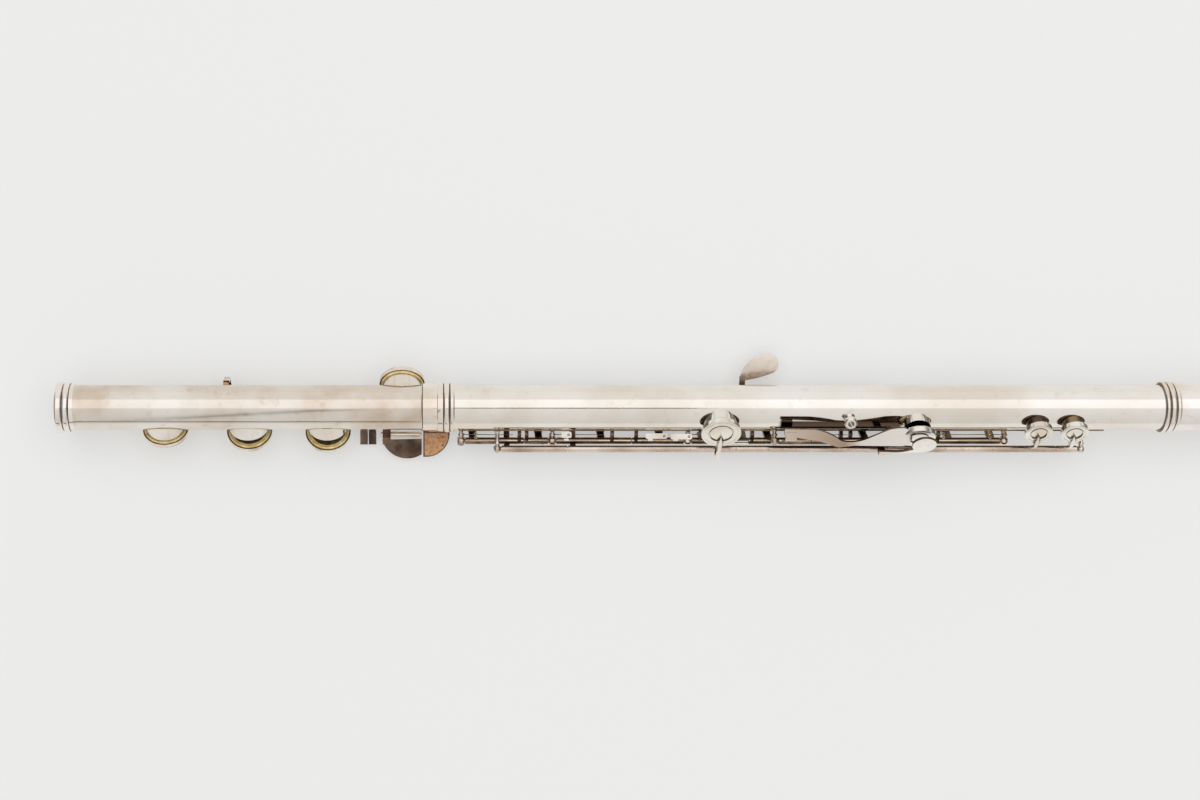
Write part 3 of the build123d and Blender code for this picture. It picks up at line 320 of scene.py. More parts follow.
# Black silver: sulphide patina on the mouldings' floors, and painted shade on key undersides, tone
# hole rims, the barrel's end face, the trill tube's inner side and the cup rings' sides.
blackPatinaAndShade = silverPlate("silverPlateSulphideBlack",
    {"cloudMm": 7, "spotMm": 1.6, "wipeMm": 3, "tones": ("4C3D34", "665347", "84705F"),
    "spot": "2E2520", "spots": 0.4, "glossy": 0.14, "dull": 0.28, "bump": 0.06})
# Dark cork for the cork's holes: painted shade.
corkHoleShade = naturalCork("corkOiledFacing",
    {"grainMm": 1.2, "pitMm": 3.0, "tones": ("4A3A2F", "65533F", "8A7460"), "pit": "33261D"})
print("materials made")


def radial(point):
    # The part of a vector that is square to the tube's axis.
    return Vector((0, point.y, point.z))


def spanX(points):
    return min(p.x for p in points), max(p.x for p in points)


def middle(points):
    return sum(points, Vector()) / len(points)


def lineDistance(point, line):
    return Vector((0, point.y + line[0], point.z + line[1])).length


def linked(corners, kind):
    # The edges or faces at these corners, each once and in order.
    return list(dict.fromkeys(part for corner in corners for part in getattr(corner, kind)))


def mergedCopy(node):
    shape = bmesh.new()
    shape.from_mesh(nodes[node].data)
    bmesh.ops.remove_doubles(shape, verts=shape.verts, dist=2e-6)
    return shape


def meshObject(name, shape, material):
    mesh = bpy.data.meshes.new(name)
    shape.to_mesh(mesh)
    shape.free()
    mesh.materials.append(material)
    made = bpy.data.objects.new(name, mesh)
    bpy.context.scene.collection.objects.link(made)
    return made


def placePiece(name, shape, material, body, replaced=(), sharpDegrees=34):
    for face in shape.faces:
        face.smooth = True
    for edge in shape.edges:
        bend = edge.calc_face_angle(0.0)
        edge.smooth = len(edge.link_faces) == 2 and bend < radians(sharpDegrees)
    piece = meshObject(name, shape, material)
    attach(piece, body)
    if replaced:
        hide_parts(*replaced)
    return piece


def repaint(piece, material, chosen):
    # Gives the chosen faces of a piece another finish.
    piece.data.materials.append(material)
    for face in piece.data.polygons:
        if chosen(face):
            face.material_index = len(piece.data.materials) - 1


def roundNormals(piece, radiiMm, slopeMm=0.03, endFacing=0.1):
    # Gives the tube's own faces the normals of a true cylinder, so that reflections run straight.
    mesh = piece.data
    normals = [Vector(corner.vector) for corner in mesh.corner_normals]
    for face in mesh.polygons:
        outward = radial(face.center)
        if outward.length < 1e-6 or abs(face.normal.x) > endFacing:
            continue
        away = [radial(mesh.vertices[v].co) for v in face.vertices]
        if not any(all(abs(a.length / mm - r) < slopeMm for a in away) for r in radiiMm):
            continue
        side = 1 if face.normal.dot(outward) > 0 else -1
        for loop, direction in zip(face.loop_indices, away):
            normals[loop] = side * direction.normalized()
    mesh.normals_split_custom_set(normals)


def discFrame(node):
    # Middle of a pad's lower face, its outward direction, radius and thickness.
    mesh = nodes[node].data
    outward = max(mesh.polygons, key=lambda face: face.area).normal.copy()
    points = [v.co.copy() for v in mesh.vertices]
    low, high = min(p.dot(outward) for p in points), max(p.dot(outward) for p in points)
    if radial(middle(points)).dot(outward) < 0:
        outward, low, high = -outward, -high, -low
    x0, x1 = spanX(points)
    flat = [p - outward * p.dot(outward) for p in points]
    around = Vector((1, 0, 0)).cross(outward).normalized()
    side = (min(p.dot(around) for p in points) + max(p.dot(around) for p in points)) / 2
    origin = Vector(((x0 + x1) / 2, 0, 0)) + around * side + outward * low
    return origin, outward, (x1 - x0) / 2, high - low


def bevelEdges(shape, edges, offsetMm, segments):
    bmesh.ops.bevel(shape, geom=edges, offset=offsetMm * mm, offset_type="OFFSET",
        segments=segments, profile=0.5, affect="EDGES", clamp_overlap=True, material=-1)


# Widths as shares of the arm in the CAD, the tip's reach as a share of the rim, then what
# counts as arm, in millimetres.
armShape = {"tip": 0.36, "rim": 0.42, "hinge": 0.66, "tipReach": 0.85, "neckLong": 2.2,
            "halfWide": 2.4, "halfThin": 1.75, "above": 0.68, "near": 0.2, "past": 0.1}


def slimArm(shape, origin, outward, rim, thickness):
    # Draws a cup's arm in to a slim spear that widens again where it meets its hinge.
    across = Vector((1, 0, 0)).cross(outward).normalized()

    def place(corner):
        off = corner.co - origin
        return off.x, off.dot(across), off.dot(outward)

    def onArm(corner):
        x, side, height = place(corner)
        past = (hypot(x, side) > rim + armShape["past"] * mm and abs(x) < armShape["halfThin"] * mm)
        return (abs(x) < armShape["halfWide"] * mm
            and (height > thickness + armShape["above"] * mm or past))

    chosen = [corner for corner in shape.verts if onArm(corner)]
    for edge in linked(chosen, "link_edges"):
        for corner in edge.verts:
            x, side, height = place(corner)
            if (abs(x) < armShape["halfWide"] * mm and height > thickness + armShape["near"] * mm):
                chosen.append(corner)
    for corner in dict.fromkeys(chosen):
        x, side, height = place(corner)
        share = armShape["hinge"]
        if abs(side) < armShape["tipReach"] * rim:
            share = armShape["tip"]
        elif abs(side) < rim + armShape["neckLong"] * mm:
            share = armShape["rim"]
        corner.co.x = origin.x + x * share


cupWall = 0.63  # millimetres of metal outside a pad, with its fitting gap
finishing = {"flatDegrees": 0.6, "rimBand": 0.06, "rimDegrees": 60, "rimSteps": 4,
             "edgeDegrees": 40, "edgeSteps": 2}


def softened(node, material, edgeMm=0.0, sharpDegrees=34, cupPad="", rimMm=0.0, underside=None,
        facing=None, lean=-0.25, slim=False):
    # A CAD node with its corners joined and its edges rounded, as buffing leaves them.
    shape = mergedCopy(node)
    if edgeMm:
        bmesh.ops.dissolve_limit(shape, angle_limit=radians(finishing["flatDegrees"]),
            verts=shape.verts, edges=shape.edges)
    if cupPad:
        origin, outward, radius, thickness = discFrame(cupPad)
        reach = radius + cupWall * mm
        if slim:
            slimArm(shape, origin, outward, reach, thickness)

        def onRim(corner):
            off = corner.co - origin
            height = off.dot(outward)
            fromRim = abs((off - outward * height).length - reach)
            return height > thickness and fromRim < finishing["rimBand"] * mm

        rimEdges = [e for e in shape.edges if onRim(e.verts[0]) and onRim(e.verts[1])
            and e.calc_face_angle(0.0) > radians(finishing["rimDegrees"])]
        bevelEdges(shape, rimEdges, rimMm, finishing["rimSteps"])
    if edgeMm:
        edges = [e for e in shape.edges if len(e.link_faces) == 2
            and e.calc_face_angle(0.0) > radians(finishing["edgeDegrees"])]
        bevelEdges(shape, edges, edgeMm, finishing["edgeSteps"])
    piece = placePiece(node + "Finish", shape, material, bodyOf[node], [node], sharpDegrees)
    # Faces turned away from the outside, or from the given facing, take the underside finish; with
    # the black one this is painted shade, with some tarnish.
    if underside:
        repaint(piece, underside,
            lambda face: face.normal.dot(facing or radial(face.center).normalized()) < lean)
    if edgeMm:
        weighted = piece.modifiers.new("weightedNormals", "WEIGHTED_NORMAL")
        weighted.keep_sharp = True
    return piece


def spun(outlineMm, steps=96):
    # Lathe work: an outline of (length, radius) along X, spun about X.
    shape = bmesh.new()
    corners = [shape.verts.new(Vector((x * mm, 0, r * mm))) for x, r in outlineMm]
    ring = corners + [corners[0]]
    edges = [shape.edges.new(pair) for pair in zip(ring, ring[1:])]
    bmesh.ops.spin(shape, geom=corners + edges, cent=(0, 0, 0), axis=(1, 0, 0), angle=2 * pi,
        steps=steps, use_merge=True, use_duplicate=False)
    bmesh.ops.remove_doubles(shape, verts=shape.verts, dist=1e-6)
    bmesh.ops.recalc_face_normals(shape, faces=shape.faces)
    return shape


def standUp(shape, origin, outward, made=None, lying=(1, 0, 0)):
    # Turns work from the axis it lies along to the outward direction and sets it on its place.
    turn = Vector(lying).rotation_difference(outward).to_matrix().to_4x4()
    bmesh.ops.transform(shape, matrix=Matrix.Translation(origin) @ turn, verts=made or shape.verts)
    return shape


def cutFlat(shape, corners, at, facing):
    # Cuts off what lies past a plane and closes the end.
    cut = bmesh.ops.bisect_plane(shape, geom=corners + linked(corners, "link_edges")
        + linked(corners, "link_faces"), dist=1e-7, plane_co=at, plane_no=facing, clear_outer=True)
    rim = [e for e in cut["geom_cut"] if isinstance(e, bmesh.types.BMEdge)]
    if rim:
        bmesh.ops.edgeloop_fill(shape, edges=rim)


def cone(shape, r0, r1, length, segments):
    # A round bar along Z, with its radii in millimetres.
    return bmesh.ops.create_cone(shape, cap_ends=True, segments=segments, radius1=r0 * mm,
        radius2=r1 * mm, depth=length)["verts"]


def bead(x0, x1, low, high, count=7, fullness=0.7):
    # Half-round moulding between two lengths.
    return [(x0 + (x1 - x0) * (1 - cos(pi * i / count)) / 2,
        low + (high - low) * sin(pi * i / count) ** fullness) for i in range(count + 1)]


def moulded(start, top, parts):
    # Points (along, deep), grooves (from, to, deep) and beads (from, to, low, high), in
    # millimetres past the start and below the top.
    outline = []
    for part in parts:
        if len(part) == 4:
            outline += bead(start + part[0], start + part[1], top - part[2], top - part[3])
        else:
            outline += [(start + along, top - part[-1]) for along in part[:-1]]
    return outline


def islands(node):
    # The separate solids of a node, each as a list of its corners.
    shape = mergedCopy(node)
    seen, groups = set(), []
    for first in shape.verts:
        if first in seen:
            continue
        seen.add(first)
        group, queue = [], [first]
        while queue:
            corner = queue.pop()
            group.append(corner.co.copy())
            for edge in corner.link_edges:
                other = edge.other_vert(corner)
                if other not in seen:
                    seen.add(other)
                    queue.append(other)
        groups.append(group)
    shape.free()
    return groups


tubeMm = 9.9  # outside radius of the tube


def darkGrooves(piece, x0, x1, below):
    # Polish never reaches the floors between the mouldings.
    repaint(piece, blackPatinaAndShade,
        lambda face: x0 * mm < face.center.x < x1 * mm and face.normal.y * face.center.y >= 0
        and tubeMm + 0.1 < radial(face.center).length / mm < below)


endRing = {"wall": 0.4, "face": 0.5, "grooves": (3.05, 6.3, 0.62), "tail": 0.25, "parts": (
    (0.05, 3.0, 0.45, 0.0), (3.15, 3.35, 0.75), (3.5, 5.9, 0.55, 0.1), (6.05, 0.8), (6.3, 0.85))}
low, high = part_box("foot_end_ring")
ringMm, lengthMm = high.z / mm, high.x / mm
outline = ([(0.0, tubeMm - endRing["wall"]), (0.0, ringMm - endRing["face"])]
    + moulded(0.0, ringMm, endRing["parts"])[1:]
    + [(lengthMm, tubeMm + endRing["tail"]), (lengthMm, tubeMm)])
piece = placePiece("footEndRingTurned", spun(outline), ringSilver, "foot", ["foot_end_ring"], 50)
x0, x1, deep = endRing["grooves"]
darkGrooves(piece, x0, x1, ringMm - deep)

ringFit = 0.05  # clearance of a sleeve over the tube
socketRing = {
    "sleeve": 0.7, "ring": 7.0,  # the sleeve's height, and the moulding's start from the end
    "lip": ((0.0, 0.25), (0.25, 0.0), (0.4, 0.0), (0.45, 0.75, 0.07), (0.8, 0.0)),
    "step": ((-0.5, 0.0), (-0.3, -0.3), (1.0, 2.0, -0.38), (2.2, 2.4, -0.05)),
    "beads": ((2.5, 4.7, 0.2, 0.0), (5.2, 6.8, 0.1, 0.25)),  # low above sleeve, high below top
    "gap": (4.85, 5.1, 0.0), "darkRing": (2.0, 5.25, 0.13), "darkLip": (0.4, 0.8, -0.05)}
low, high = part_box("foot_socket")
x0, x1, sleeveR, topR = low.x / mm, high.x / mm, tubeMm + socketRing["sleeve"], high.z / mm
ringX = x1 - socketRing["ring"]
first, second = [bead(ringX + start, ringX + end, sleeveR + rise, topR - drop)
    for start, end, rise, drop in socketRing["beads"]]
outline = ([(x0, tubeMm + ringFit)] + moulded(x0, sleeveR, socketRing["lip"])
    + moulded(ringX, sleeveR, socketRing["step"]) + first
    + moulded(ringX, sleeveR, [socketRing["gap"]]) + second
    + [(x1, sleeveR), (x1, tubeMm + ringFit)])
piece = placePiece("footSocketTurned", spun(outline), ringSilver, "foot", ["foot_socket"], 50)
for start, (near, far, rise) in ((ringX, socketRing["darkRing"]), (x0, socketRing["darkLip"])):
    darkGrooves(piece, start + near, start + far, sleeveR + rise)

barrelRing = {
    "sleeve": 0.6, "face": 0.5, "grooves": (1.6, 4.9, 0.55), "endFace": (0.02, -0.6),
    "parts": ((0.05, 1.6, 0.4, 0.05), (1.75, 1.95, 0.7), (2.1, 4.3, 0.4, 0.0),
              (4.45, 4.65, 0.75), (4.8, 6.4, 0.55, 0.3)),
    "sleeveStart": ((6.55, -0.05), (6.9, 7.2, 0.0)), "sleeveEnd": ((-0.6, -0.3, 0.0), (0.0, 0.25))}
low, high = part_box("barrel")
x0, x1, sleeveR, topR = low.x / mm, high.x / mm, tubeMm + barrelRing["sleeve"], high.z / mm
outline = ([(x0, tubeMm + ringFit), (x0, topR - barrelRing["face"])]
    + moulded(x0, topR, barrelRing["parts"])[1:] + moulded(x0, sleeveR, barrelRing["sleeveStart"])
    + moulded(x1, sleeveR, barrelRing["sleeveEnd"]) + [(x1, tubeMm + ringFit)])
piece = placePiece("barrelTurned", spun(outline), ringSilver, "body", ["barrel"], 50)
near, far, deep = barrelRing["grooves"]
darkGrooves(piece, x0 + near, x0 + far, topR - deep)
# The barrel's end face is painted black as a thin dark line: painted shade.
behind, facing = barrelRing["endFace"]
repaint(piece, blackPatinaAndShade,
    lambda face: face.center.x < (x0 + behind) * mm and face.normal.x < facing)

crownCap = {
    "socket": (10.5, 2.4), "wall": 3.0, "face": 0.3,
    "parts": ((0.05, 1.8, 0.3, 0.0), (2.0, 2.3, 0.6), (2.6, 0.2), (9.5, 0.15), (9.8, 10.1, 0.5),
              (10.2, 11.8, 0.5, 0.2), (12.2, 1.2)),
    "dome": ((-1.4, 2.6), (-0.5, 4.6), (-0.1, 7.0))}
low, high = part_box("crown")
x0, x1, topR = low.x / mm, high.x / mm, high.z / mm
deep, socketR = crownCap["socket"]
outline = ([(x0, crownCap["wall"]), (x0, topR - crownCap["face"])]
    + moulded(x0, topR, crownCap["parts"])[1:] + moulded(x1, topR, crownCap["dome"])
    + [(x1, 0.0), (x0 + deep, 0.0), (x0 + deep, socketR), (x0, socketR)])
placePiece("crownTurned", spun(outline), ringSilver, "crown", ["crown"], 40)
print("rings turned")


tubeRadii = {"foot_tube": (9.9, 9.5), "body_tube": (9.9, 9.5),
             "head_tube": (9.9, 9.5, 8.95, 8.55)}
tubeWork = {"chimney": 10.1, "rim": 12.14, "lipRadii": (13.8, 12.9), "lipEdge": 0.25,
            "lipSlope": 0.05, "ribEdge": 0.1}
for node, radii in tubeRadii.items():
    tube = softened(node, footSilver if node == "foot_tube" else tubeSilver)
    # The trill holes' chimneys take the dark rib finish: tarnish with painted shade under the trill
    # cups.
    if node == "body_tube":  # the trill holes' chimneys, where no cloth reaches
        x0, x1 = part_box("d_trill_pad")[0].x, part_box("d_sharp_trill_pad")[1].x
        repaint(tube, ribTarnishAndShade, lambda face: x0 < face.center.x < x1 and face.center.y < 0
            and radial(face.center).length > tubeWork["chimney"] * mm)
    # The tone hole rims are painted black: painted shadow of the gap between pad and rim.
    if node != "head_tube":  # the rims that the pads shut on
        repaint(tube, blackPatinaAndShade, lambda face: all(
            radial(tube.data.vertices[v].co).length > tubeWork["rim"] * mm for v in face.vertices))
    roundNormals(tube, radii)
roundNormals(softened("lip_plate", tubeSilver, tubeWork["lipEdge"]), tubeWork["lipRadii"],
    tubeWork["lipSlope"])
softened("lip_riser", tubeSilver)
softened("body_rib", ribTarnishAndShade, tubeWork["ribEdge"])
print("tubes finished")


keyEdge = {"edge": 0.2, "rim": 0.75, "trillRim": 1.0, "tube": 1.75, "shaded": 0.62}


def outFrom(degreesRound):
    # Direction out of the tube at this many degrees from the front, round by the player's side.
    return Vector((0, -sin(radians(degreesRound)), -cos(radians(degreesRound))))


keyFinish = {
    "thumb_b_key": {"material": thumbSilver, "underside": blackPatinaAndShade, "facing": outFrom(150),
                    "lean": 0.35},
    "thumb_b_flat_lever": {"material": touchSilver, "underside": blackPatinaAndShade,
                           "facing": outFrom(130), "lean": 0.35},
    "g_sharp_key": {"material": touchSilver, "underside": paddleSilver},
    "d_trill_key": {"material": touchSilver, "underside": blackPatinaAndShade},
    "d_sharp_trill_key": {"material": touchSilver, "underside": blackPatinaAndShade}}
mainKeys = ("d_key", "e_key", "f_key", "f_sharp_key", "lower_g_key", "g_key", "a_key",
    "b_flat_key", "c_key")
# The main keys take the dark hinge finish all over: tarnish with painted shade, and the painted
# highlight on their tubes.
keyFinish.update({node: {"material": hingeTarnishShadeAndHighlight} for node in mainKeys})
plainKey = {"material": keySilver, "underside": blackPatinaAndShade}
for node in sorted(nodes):
    if node.endswith("_key") or node.endswith("_lever"):
        padNode = node.replace("_key", "_pad")
        trill = "trill" in node
        piece = softened(node, edgeMm=keyEdge["edge"], cupPad=padNode if padNode in nodes else "",
            rimMm=keyEdge["trillRim" if trill else "rim"], slim=trill or node == "g_sharp_key",
            **keyFinish.get(node, plainKey))
        tube = keyEdge["tube"] * mm
        if node.startswith("thumb"):
            # The thumb keys' hinge tubes take the dark hinge finish: tarnish with painted shade
            # under the thumb plate.
            repaint(piece, thumbHingeTarnishShadeAndHighlight, lambda face: lineDistance(face.center, thumbLine) < tube)
        if trill:
            repaint(piece, trillSilver, lambda face: lineDistance(face.center, trillLine) < tube)
            # The trill tube's side towards the body tube is painted black: painted shade.
            repaint(piece, blackPatinaAndShade, lambda face: lineDistance(face.center, trillLine) < tube
                and face.normal.y > keyEdge["shaded"])
smallParts = {"low_b_roller": (ringSilver, 0.3), "low_c_roller": (ringSilver, 0.3),
              "e_flat_cork": (corkSheet, 0.1), "low_c_bumper": (corkSheet, 0.25),
              "right_hand_rods": (rodSteel, 0.0), "left_hand_rods": (rodSteel, 0.0),
              "thumb_rod": (rodSteel, 0.0), "foot_rods": (rodSteel, 0.0),
              "stopper_screw": (rodSteel, 0.0), "stopper_plates": (ringSilver, 0.15),
              "stopper_cork": (corkSheet, 0.2)}
for node, (material, edge) in smallParts.items():
    softened(node, material, edge)
print("keys finished")


# Rings stand on a cup's back at these shares of its radius; the crest is in shares of their
# height and width.
cupRing = {"shares": (0.62, 0.90), "wide": 0.55, "high": (0.30, 0.14), "sunk": 0.3,
           "root": 0.2, "lift": (0.02, 0.03), "foot": 0.12,
           "crest": ((0.7, 0.7), (1.0, 0.35), (0.8, 0.0)), "shaded": 0.72}
for node in ("g_sharp_pad", "thumb_b_pad", "d_trill_pad", "d_sharp_trill_pad"):
    origin, outward, radius, thickness = discFrame(node)
    top, r = thickness / mm + cupWall, radius / mm + cupWall
    for number, (share, high) in enumerate(zip(cupRing["shares"], cupRing["high"])):
        ring, wide = r * share, cupRing["wide"]
        floor = top if number else top - cupRing["sunk"]
        inner, outer = ring - wide, ring + cupRing["foot"]
        outline = ([(floor - cupRing["root"], inner), (floor + cupRing["lift"][0], inner)]
            + [(top + high * rise, ring - wide * back) for rise, back in cupRing["crest"]]
            + [(top + cupRing["lift"][1], outer), (top - cupRing["root"], outer)])
        piece = placePiece(f"{node.replace('_pad', '')}CupRing{number}",
            standUp(spun(outline, 72), origin, outward), touchSilver, bodyOf[node], [], 50)
        # The rings' sloping sides are painted black as outlines: painted shade.
        repaint(piece, blackPatinaAndShade, lambda face: face.normal.dot(outward) < cupRing["shaded"])
print("cup rings turned")


padShape = {"middle": 0.06, "seat": 0.9, "skin": 0.75, "back": 0.02,
            "groove": ((0.16, -0.45), (0.16, -0.05), (0.05, 0.25)),  # (deep, out from the seat)
            "shoulder": ((0.0, 0.45), (0.10, 0.12), (0.35, 0.0))}  # (deep, in from the side)
shutPads = ("g_sharp_pad", "d_trill_pad", "d_sharp_trill_pad")  # their skin is in the dark
for node in sorted(nodes):
    if node.endswith("_pad"):
        origin, outward, radius, thickness = discFrame(node)
        r, h = radius / mm, thickness / mm
        rim = r - padShape["seat"]
        outline = ([(padShape["middle"], 0.0), (padShape["middle"], rim - padShape["skin"])]
            + [(deep, rim + out) for deep, out in padShape["groove"]]
            + [(deep, r - inward) for deep, inward in padShape["shoulder"]]
            + [(h - padShape["back"], r), (h - padShape["back"], 0.0)])
        piece = placePiece(node + "Skin", standUp(spun(outline, 64), origin, outward), padFilm,
            bodyOf[node], [node], 60)
        # Painted shade: the dark skin stands for the shadow in the gap between pad and tone hole,
        # and covers the whole of a shut pad.
        dark = (r if node in shutPads else rim - padShape["skin"]) * mm
        repaint(piece, padShadeFilm, lambda face: (face.center - origin).cross(outward).length < dark)
print("pads made")


postShape = {"foot": 1.55, "footHeight": 0.35, "footTaper": 0.1, "rise": 0.5, "neck": 0.85,
             "neckFlare": 0.1, "ball": 1.06, "ballSteps": 14, "tuck": 1.15, "collar": 1.4,
             "collarRoom": 2.6, "collarDown": 1.5, "collarRises": (0.45, 0.9, 1.2)}


def ballPost(points, name, body):
    # A post of the CAD turned anew: foot, neck, collar and a ball cut flat at both ends.
    x0, x1 = spanX(points)
    end = [p for p in points if p.x > x1 - 2e-5]
    head = middle(end)
    head.x = (x0 + x1) / 2
    outward = radial(head).normalized()
    reach = radial(head).length / mm
    seat = min(p.dot(outward) for p in points) / mm
    headR = max(radial(p - head).length for p in end) / mm
    ballR = headR * postShape["ball"]
    neck, foot, rise = postShape["neck"], postShape["foot"], seat + postShape["footHeight"]
    startAt = pi / 2 - acos(neck * postShape["tuck"] / ballR)
    steps = postShape["ballSteps"]
    turns = [startAt + (pi - startAt) * i / steps for i in range(steps)]
    outline = [(seat, 0.0), (seat, foot), (rise, foot - postShape["footTaper"]),
        (rise + postShape["rise"], neck + postShape["neckFlare"])]
    if reach - ballR - seat > postShape["collarRoom"]:
        start = reach - ballR - postShape["collarDown"]
        lower, upper, neckAgain = postShape["collarRises"]
        outline += [(start, neck + postShape["neckFlare"] / 2),
            (start + lower, postShape["collar"]), (start + upper, postShape["collar"]),
            (start + neckAgain, neck + postShape["neckFlare"])]
    outline += [(reach - ballR * cos(a), ballR * sin(a)) for a in turns]
    outline += [(reach + ballR, 0.0)]
    shape = standUp(spun(outline, 40), Vector((head.x, 0, 0)), outward)
    for way in (-1, 1):
        cutFlat(shape, shape.verts[:], (head.x + way * (x1 - x0) / 2, 0, 0), (way, 0, 0))
    placePiece(name, shape, postSilver, body, [], 50)
    return head


studShape = {"lowest": 9.0, "clear": 13.0, "seat": 9.7, "flange": 2.5, "waist": 1.5,
             "head": 2.88, "screw": 1.45, "screwHigh": 0.24, "neckDown": 2.9,
             "neckFlare": 0.1, "screwProud": 0.05,
             "stem": ((0.45, 0.8), (0.9, 0.15), (1.4, 0.0)),  # (rise, out from the waist)
             "crown": ((2.5, 0.35), (2.0, 0.0), (1.0, 0.0), (0.5, 0.12), (0.15, 0.5),
                       (0.02, 0.95))}  # (down, in from the head)
postHeads = []
for node in ("body_posts", "foot_posts"):
    groups = sorted(islands(node), key=lambda points: (spanX(points)[0], middle(points).y))
    for number, points in enumerate(groups):
        if max(p.z for p in points) > studShape["lowest"] * mm:
            studPoints = points  # the slotted stud by the thumb plate
            continue
        postHeads.append((ballPost(points, f"{node}Ball{number}", bodyOf[node]), bodyOf[node]))
piece = bpy.data.objects["foot_postsBall0"]  # it stands for all the foot's posts in the CAD
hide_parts("foot_posts")
print("posts made:", len(postHeads))

x0, x1 = spanX(studPoints)
stud = Vector(((x0 + x1) / 2, 0, 0))
outward = middle([p for p in studPoints if radial(p).length > studShape["clear"] * mm])
outward = radial(outward).normalized()
topMm = max(p.dot(outward) for p in studPoints) / mm
seat, head, waist = studShape["seat"], studShape["head"], studShape["waist"]
outline = ([(seat, 0.0), (seat, studShape["flange"])]
    + [(seat + rise, waist + out) for rise, out in studShape["stem"]]
    + [(topMm - studShape["neckDown"], waist + studShape["neckFlare"])]
    + [(topMm - down, head - inward) for down, inward in studShape["crown"]]
    + [(topMm - studShape["crown"][-1][0], 0.0)])
placePiece("thumbStudTurned", standUp(spun(outline, 48), stud, outward), touchSilver, "body",
    ["body_posts"], 50)

screwShape = {"taper": 0.9, "slot": 0.14}


def slottedScrew(name, centre, axis, radiusMm, heightMm, body, turn=0.5):
    # Screw end: a disc parted by its slot.
    shape = bmesh.new()
    for side in (-1, 1):
        made = cone(shape, radiusMm, radiusMm * screwShape["taper"], heightMm * mm, 32)
        cutFlat(shape, made, (side * radiusMm * screwShape["slot"] * mm, 0, 0), (-side, 0, 0))
    bmesh.ops.rotate(shape, cent=(0, 0, 0), matrix=Matrix.Rotation(turn, 3, "Z"), verts=shape.verts)
    standUp(shape, centre, axis, lying=(0, 0, 1))
    placePiece(name, shape, rodSteel, body, [], 30)


slottedScrew("thumbStudScrewTop", stud + outward * (topMm + studShape["screwProud"]) * mm, outward,
    studShape["screw"], studShape["screwHigh"], "body")

springShape = {"thick": 0.24, "fine": 0.13}
for node in ("body_springs", "foot_springs"):
    whole = bmesh.new()
    for points in islands(node):
        x0, x1 = spanX(points)
        centre = middle(points)
        near, far = (min(abs(head.x - x) for head, body in postHeads) for x in (x0, x1))
        made = cone(whole, springShape["thick"], springShape["fine"], x1 - x0, 12)
        aim = Matrix.Rotation(pi / 2 if near <= far else -pi / 2, 4, "Y")  # thick at its post
        place = Matrix.Translation(((x0 + x1) / 2, centre.y, centre.z))
        bmesh.ops.transform(whole, matrix=place @ aim, verts=made)
    placePiece(node + "Wire", whole, springWire, bodyOf[node], [node], 40)
print("springs made")

hingeReach = 1.6  # millimetres from the hinge line, so that only a key's tube counts
lineKeys = {node: spanX([v.co for v in nodes[node].data.vertices
                         if lineDistance(v.co, mainLine) < hingeReach * mm])
            for node in mainKeys}


def keyAt(xMm):
    # The main-line key whose hinge tube lies at this length.
    return min(lineKeys,
        key=lambda node: max(lineKeys[node][0] - xMm * mm, xMm * mm - lineKeys[node][1], 0))


def taperedPin(shape, start, end, r0, r1, segments=12):
    # Drawn pin between two points, in millimetres.
    start, end = Vector(start) * mm, Vector(end) * mm
    along = end - start
    made = cone(shape, r0, r1, along.length, segments)
    standUp(shape, (start + end) / 2, along.normalized(), made, (0, 0, 1))


def smallBall(shape, centre, radius, around, rows):
    bmesh.ops.create_uvsphere(shape, u_segments=around, v_segments=rows, radius=radius * mm,
        matrix=Matrix.Translation(Vector(centre) * mm))


def eyelet(shape, centre, major, minor):
    # Small ring lying flat, bent from wire.
    made = bmesh.ops.create_circle(shape, segments=8, radius=minor * mm)["verts"]
    bmesh.ops.rotate(shape, cent=(0, 0, 0), matrix=Matrix.Rotation(pi / 2, 3, "X"), verts=made)
    bmesh.ops.translate(shape, vec=(major * mm, 0, 0), verts=made)
    before = set(shape.verts) - set(made)
    bmesh.ops.spin(shape, geom=made + linked(made, "link_edges"), cent=(0, 0, 0), axis=(0, 0, 1),
        angle=2 * pi, steps=20, use_merge=True, use_duplicate=False)
    bmesh.ops.translate(shape, vec=Vector(centre) * mm,
        verts=[v for v in shape.verts if v not in before])


# Needle springs behind the tube, each lying in two eyes that stand on the rib.
backSpring = {"side": -12.1, "depth": -5.4, "long": 23.0, "thick": 0.2, "fine": 0.12,
              "tipOut": 0.1, "tipRise": 0.3, "eye": 0.55, "eyeWire": 0.2, "eyesAlong": 6.5,
              "eyeSides": (-11.75, -13.35), "eyeDepth": -5.2, "legLean": 0.5, "legDepth": -7.2}
longNeedle = {"start": (205.8, -15.2, -4.5), "end": (214.0, -15.9, -4.2), "fine": 0.22,
              "thick": 0.34, "ballAt": (214.2, -15.9, -4.15), "ball": 0.62}
mainPosts = sorted(head.x / mm for head, body in postHeads if body == "body"
    and lineDistance(head, mainLine) < 1 * mm)
wires, eyes = bmesh.new(), bmesh.new()
for x in mainPosts:
    way = -1 if x == mainPosts[-1] else 1
    tip = (x + way * backSpring["long"], backSpring["side"] - backSpring["tipOut"],
        backSpring["depth"] + backSpring["tipRise"])
    taperedPin(wires, (x, backSpring["side"], backSpring["depth"]), tip, backSpring["thick"],
        backSpring["fine"])
    eyeX = x + way * backSpring["eyesAlong"]
    legX, wire = eyeX - backSpring["eye"], backSpring["eyeWire"]
    for side in backSpring["eyeSides"]:
        eyelet(eyes, (eyeX, side, backSpring["eyeDepth"]), backSpring["eye"], wire)
        taperedPin(eyes, (legX, side, backSpring["eyeDepth"]),
            (legX, side - backSpring["legLean"], backSpring["legDepth"]), wire, wire, 8)
taperedPin(wires, longNeedle["start"], longNeedle["end"], longNeedle["fine"], longNeedle["thick"])
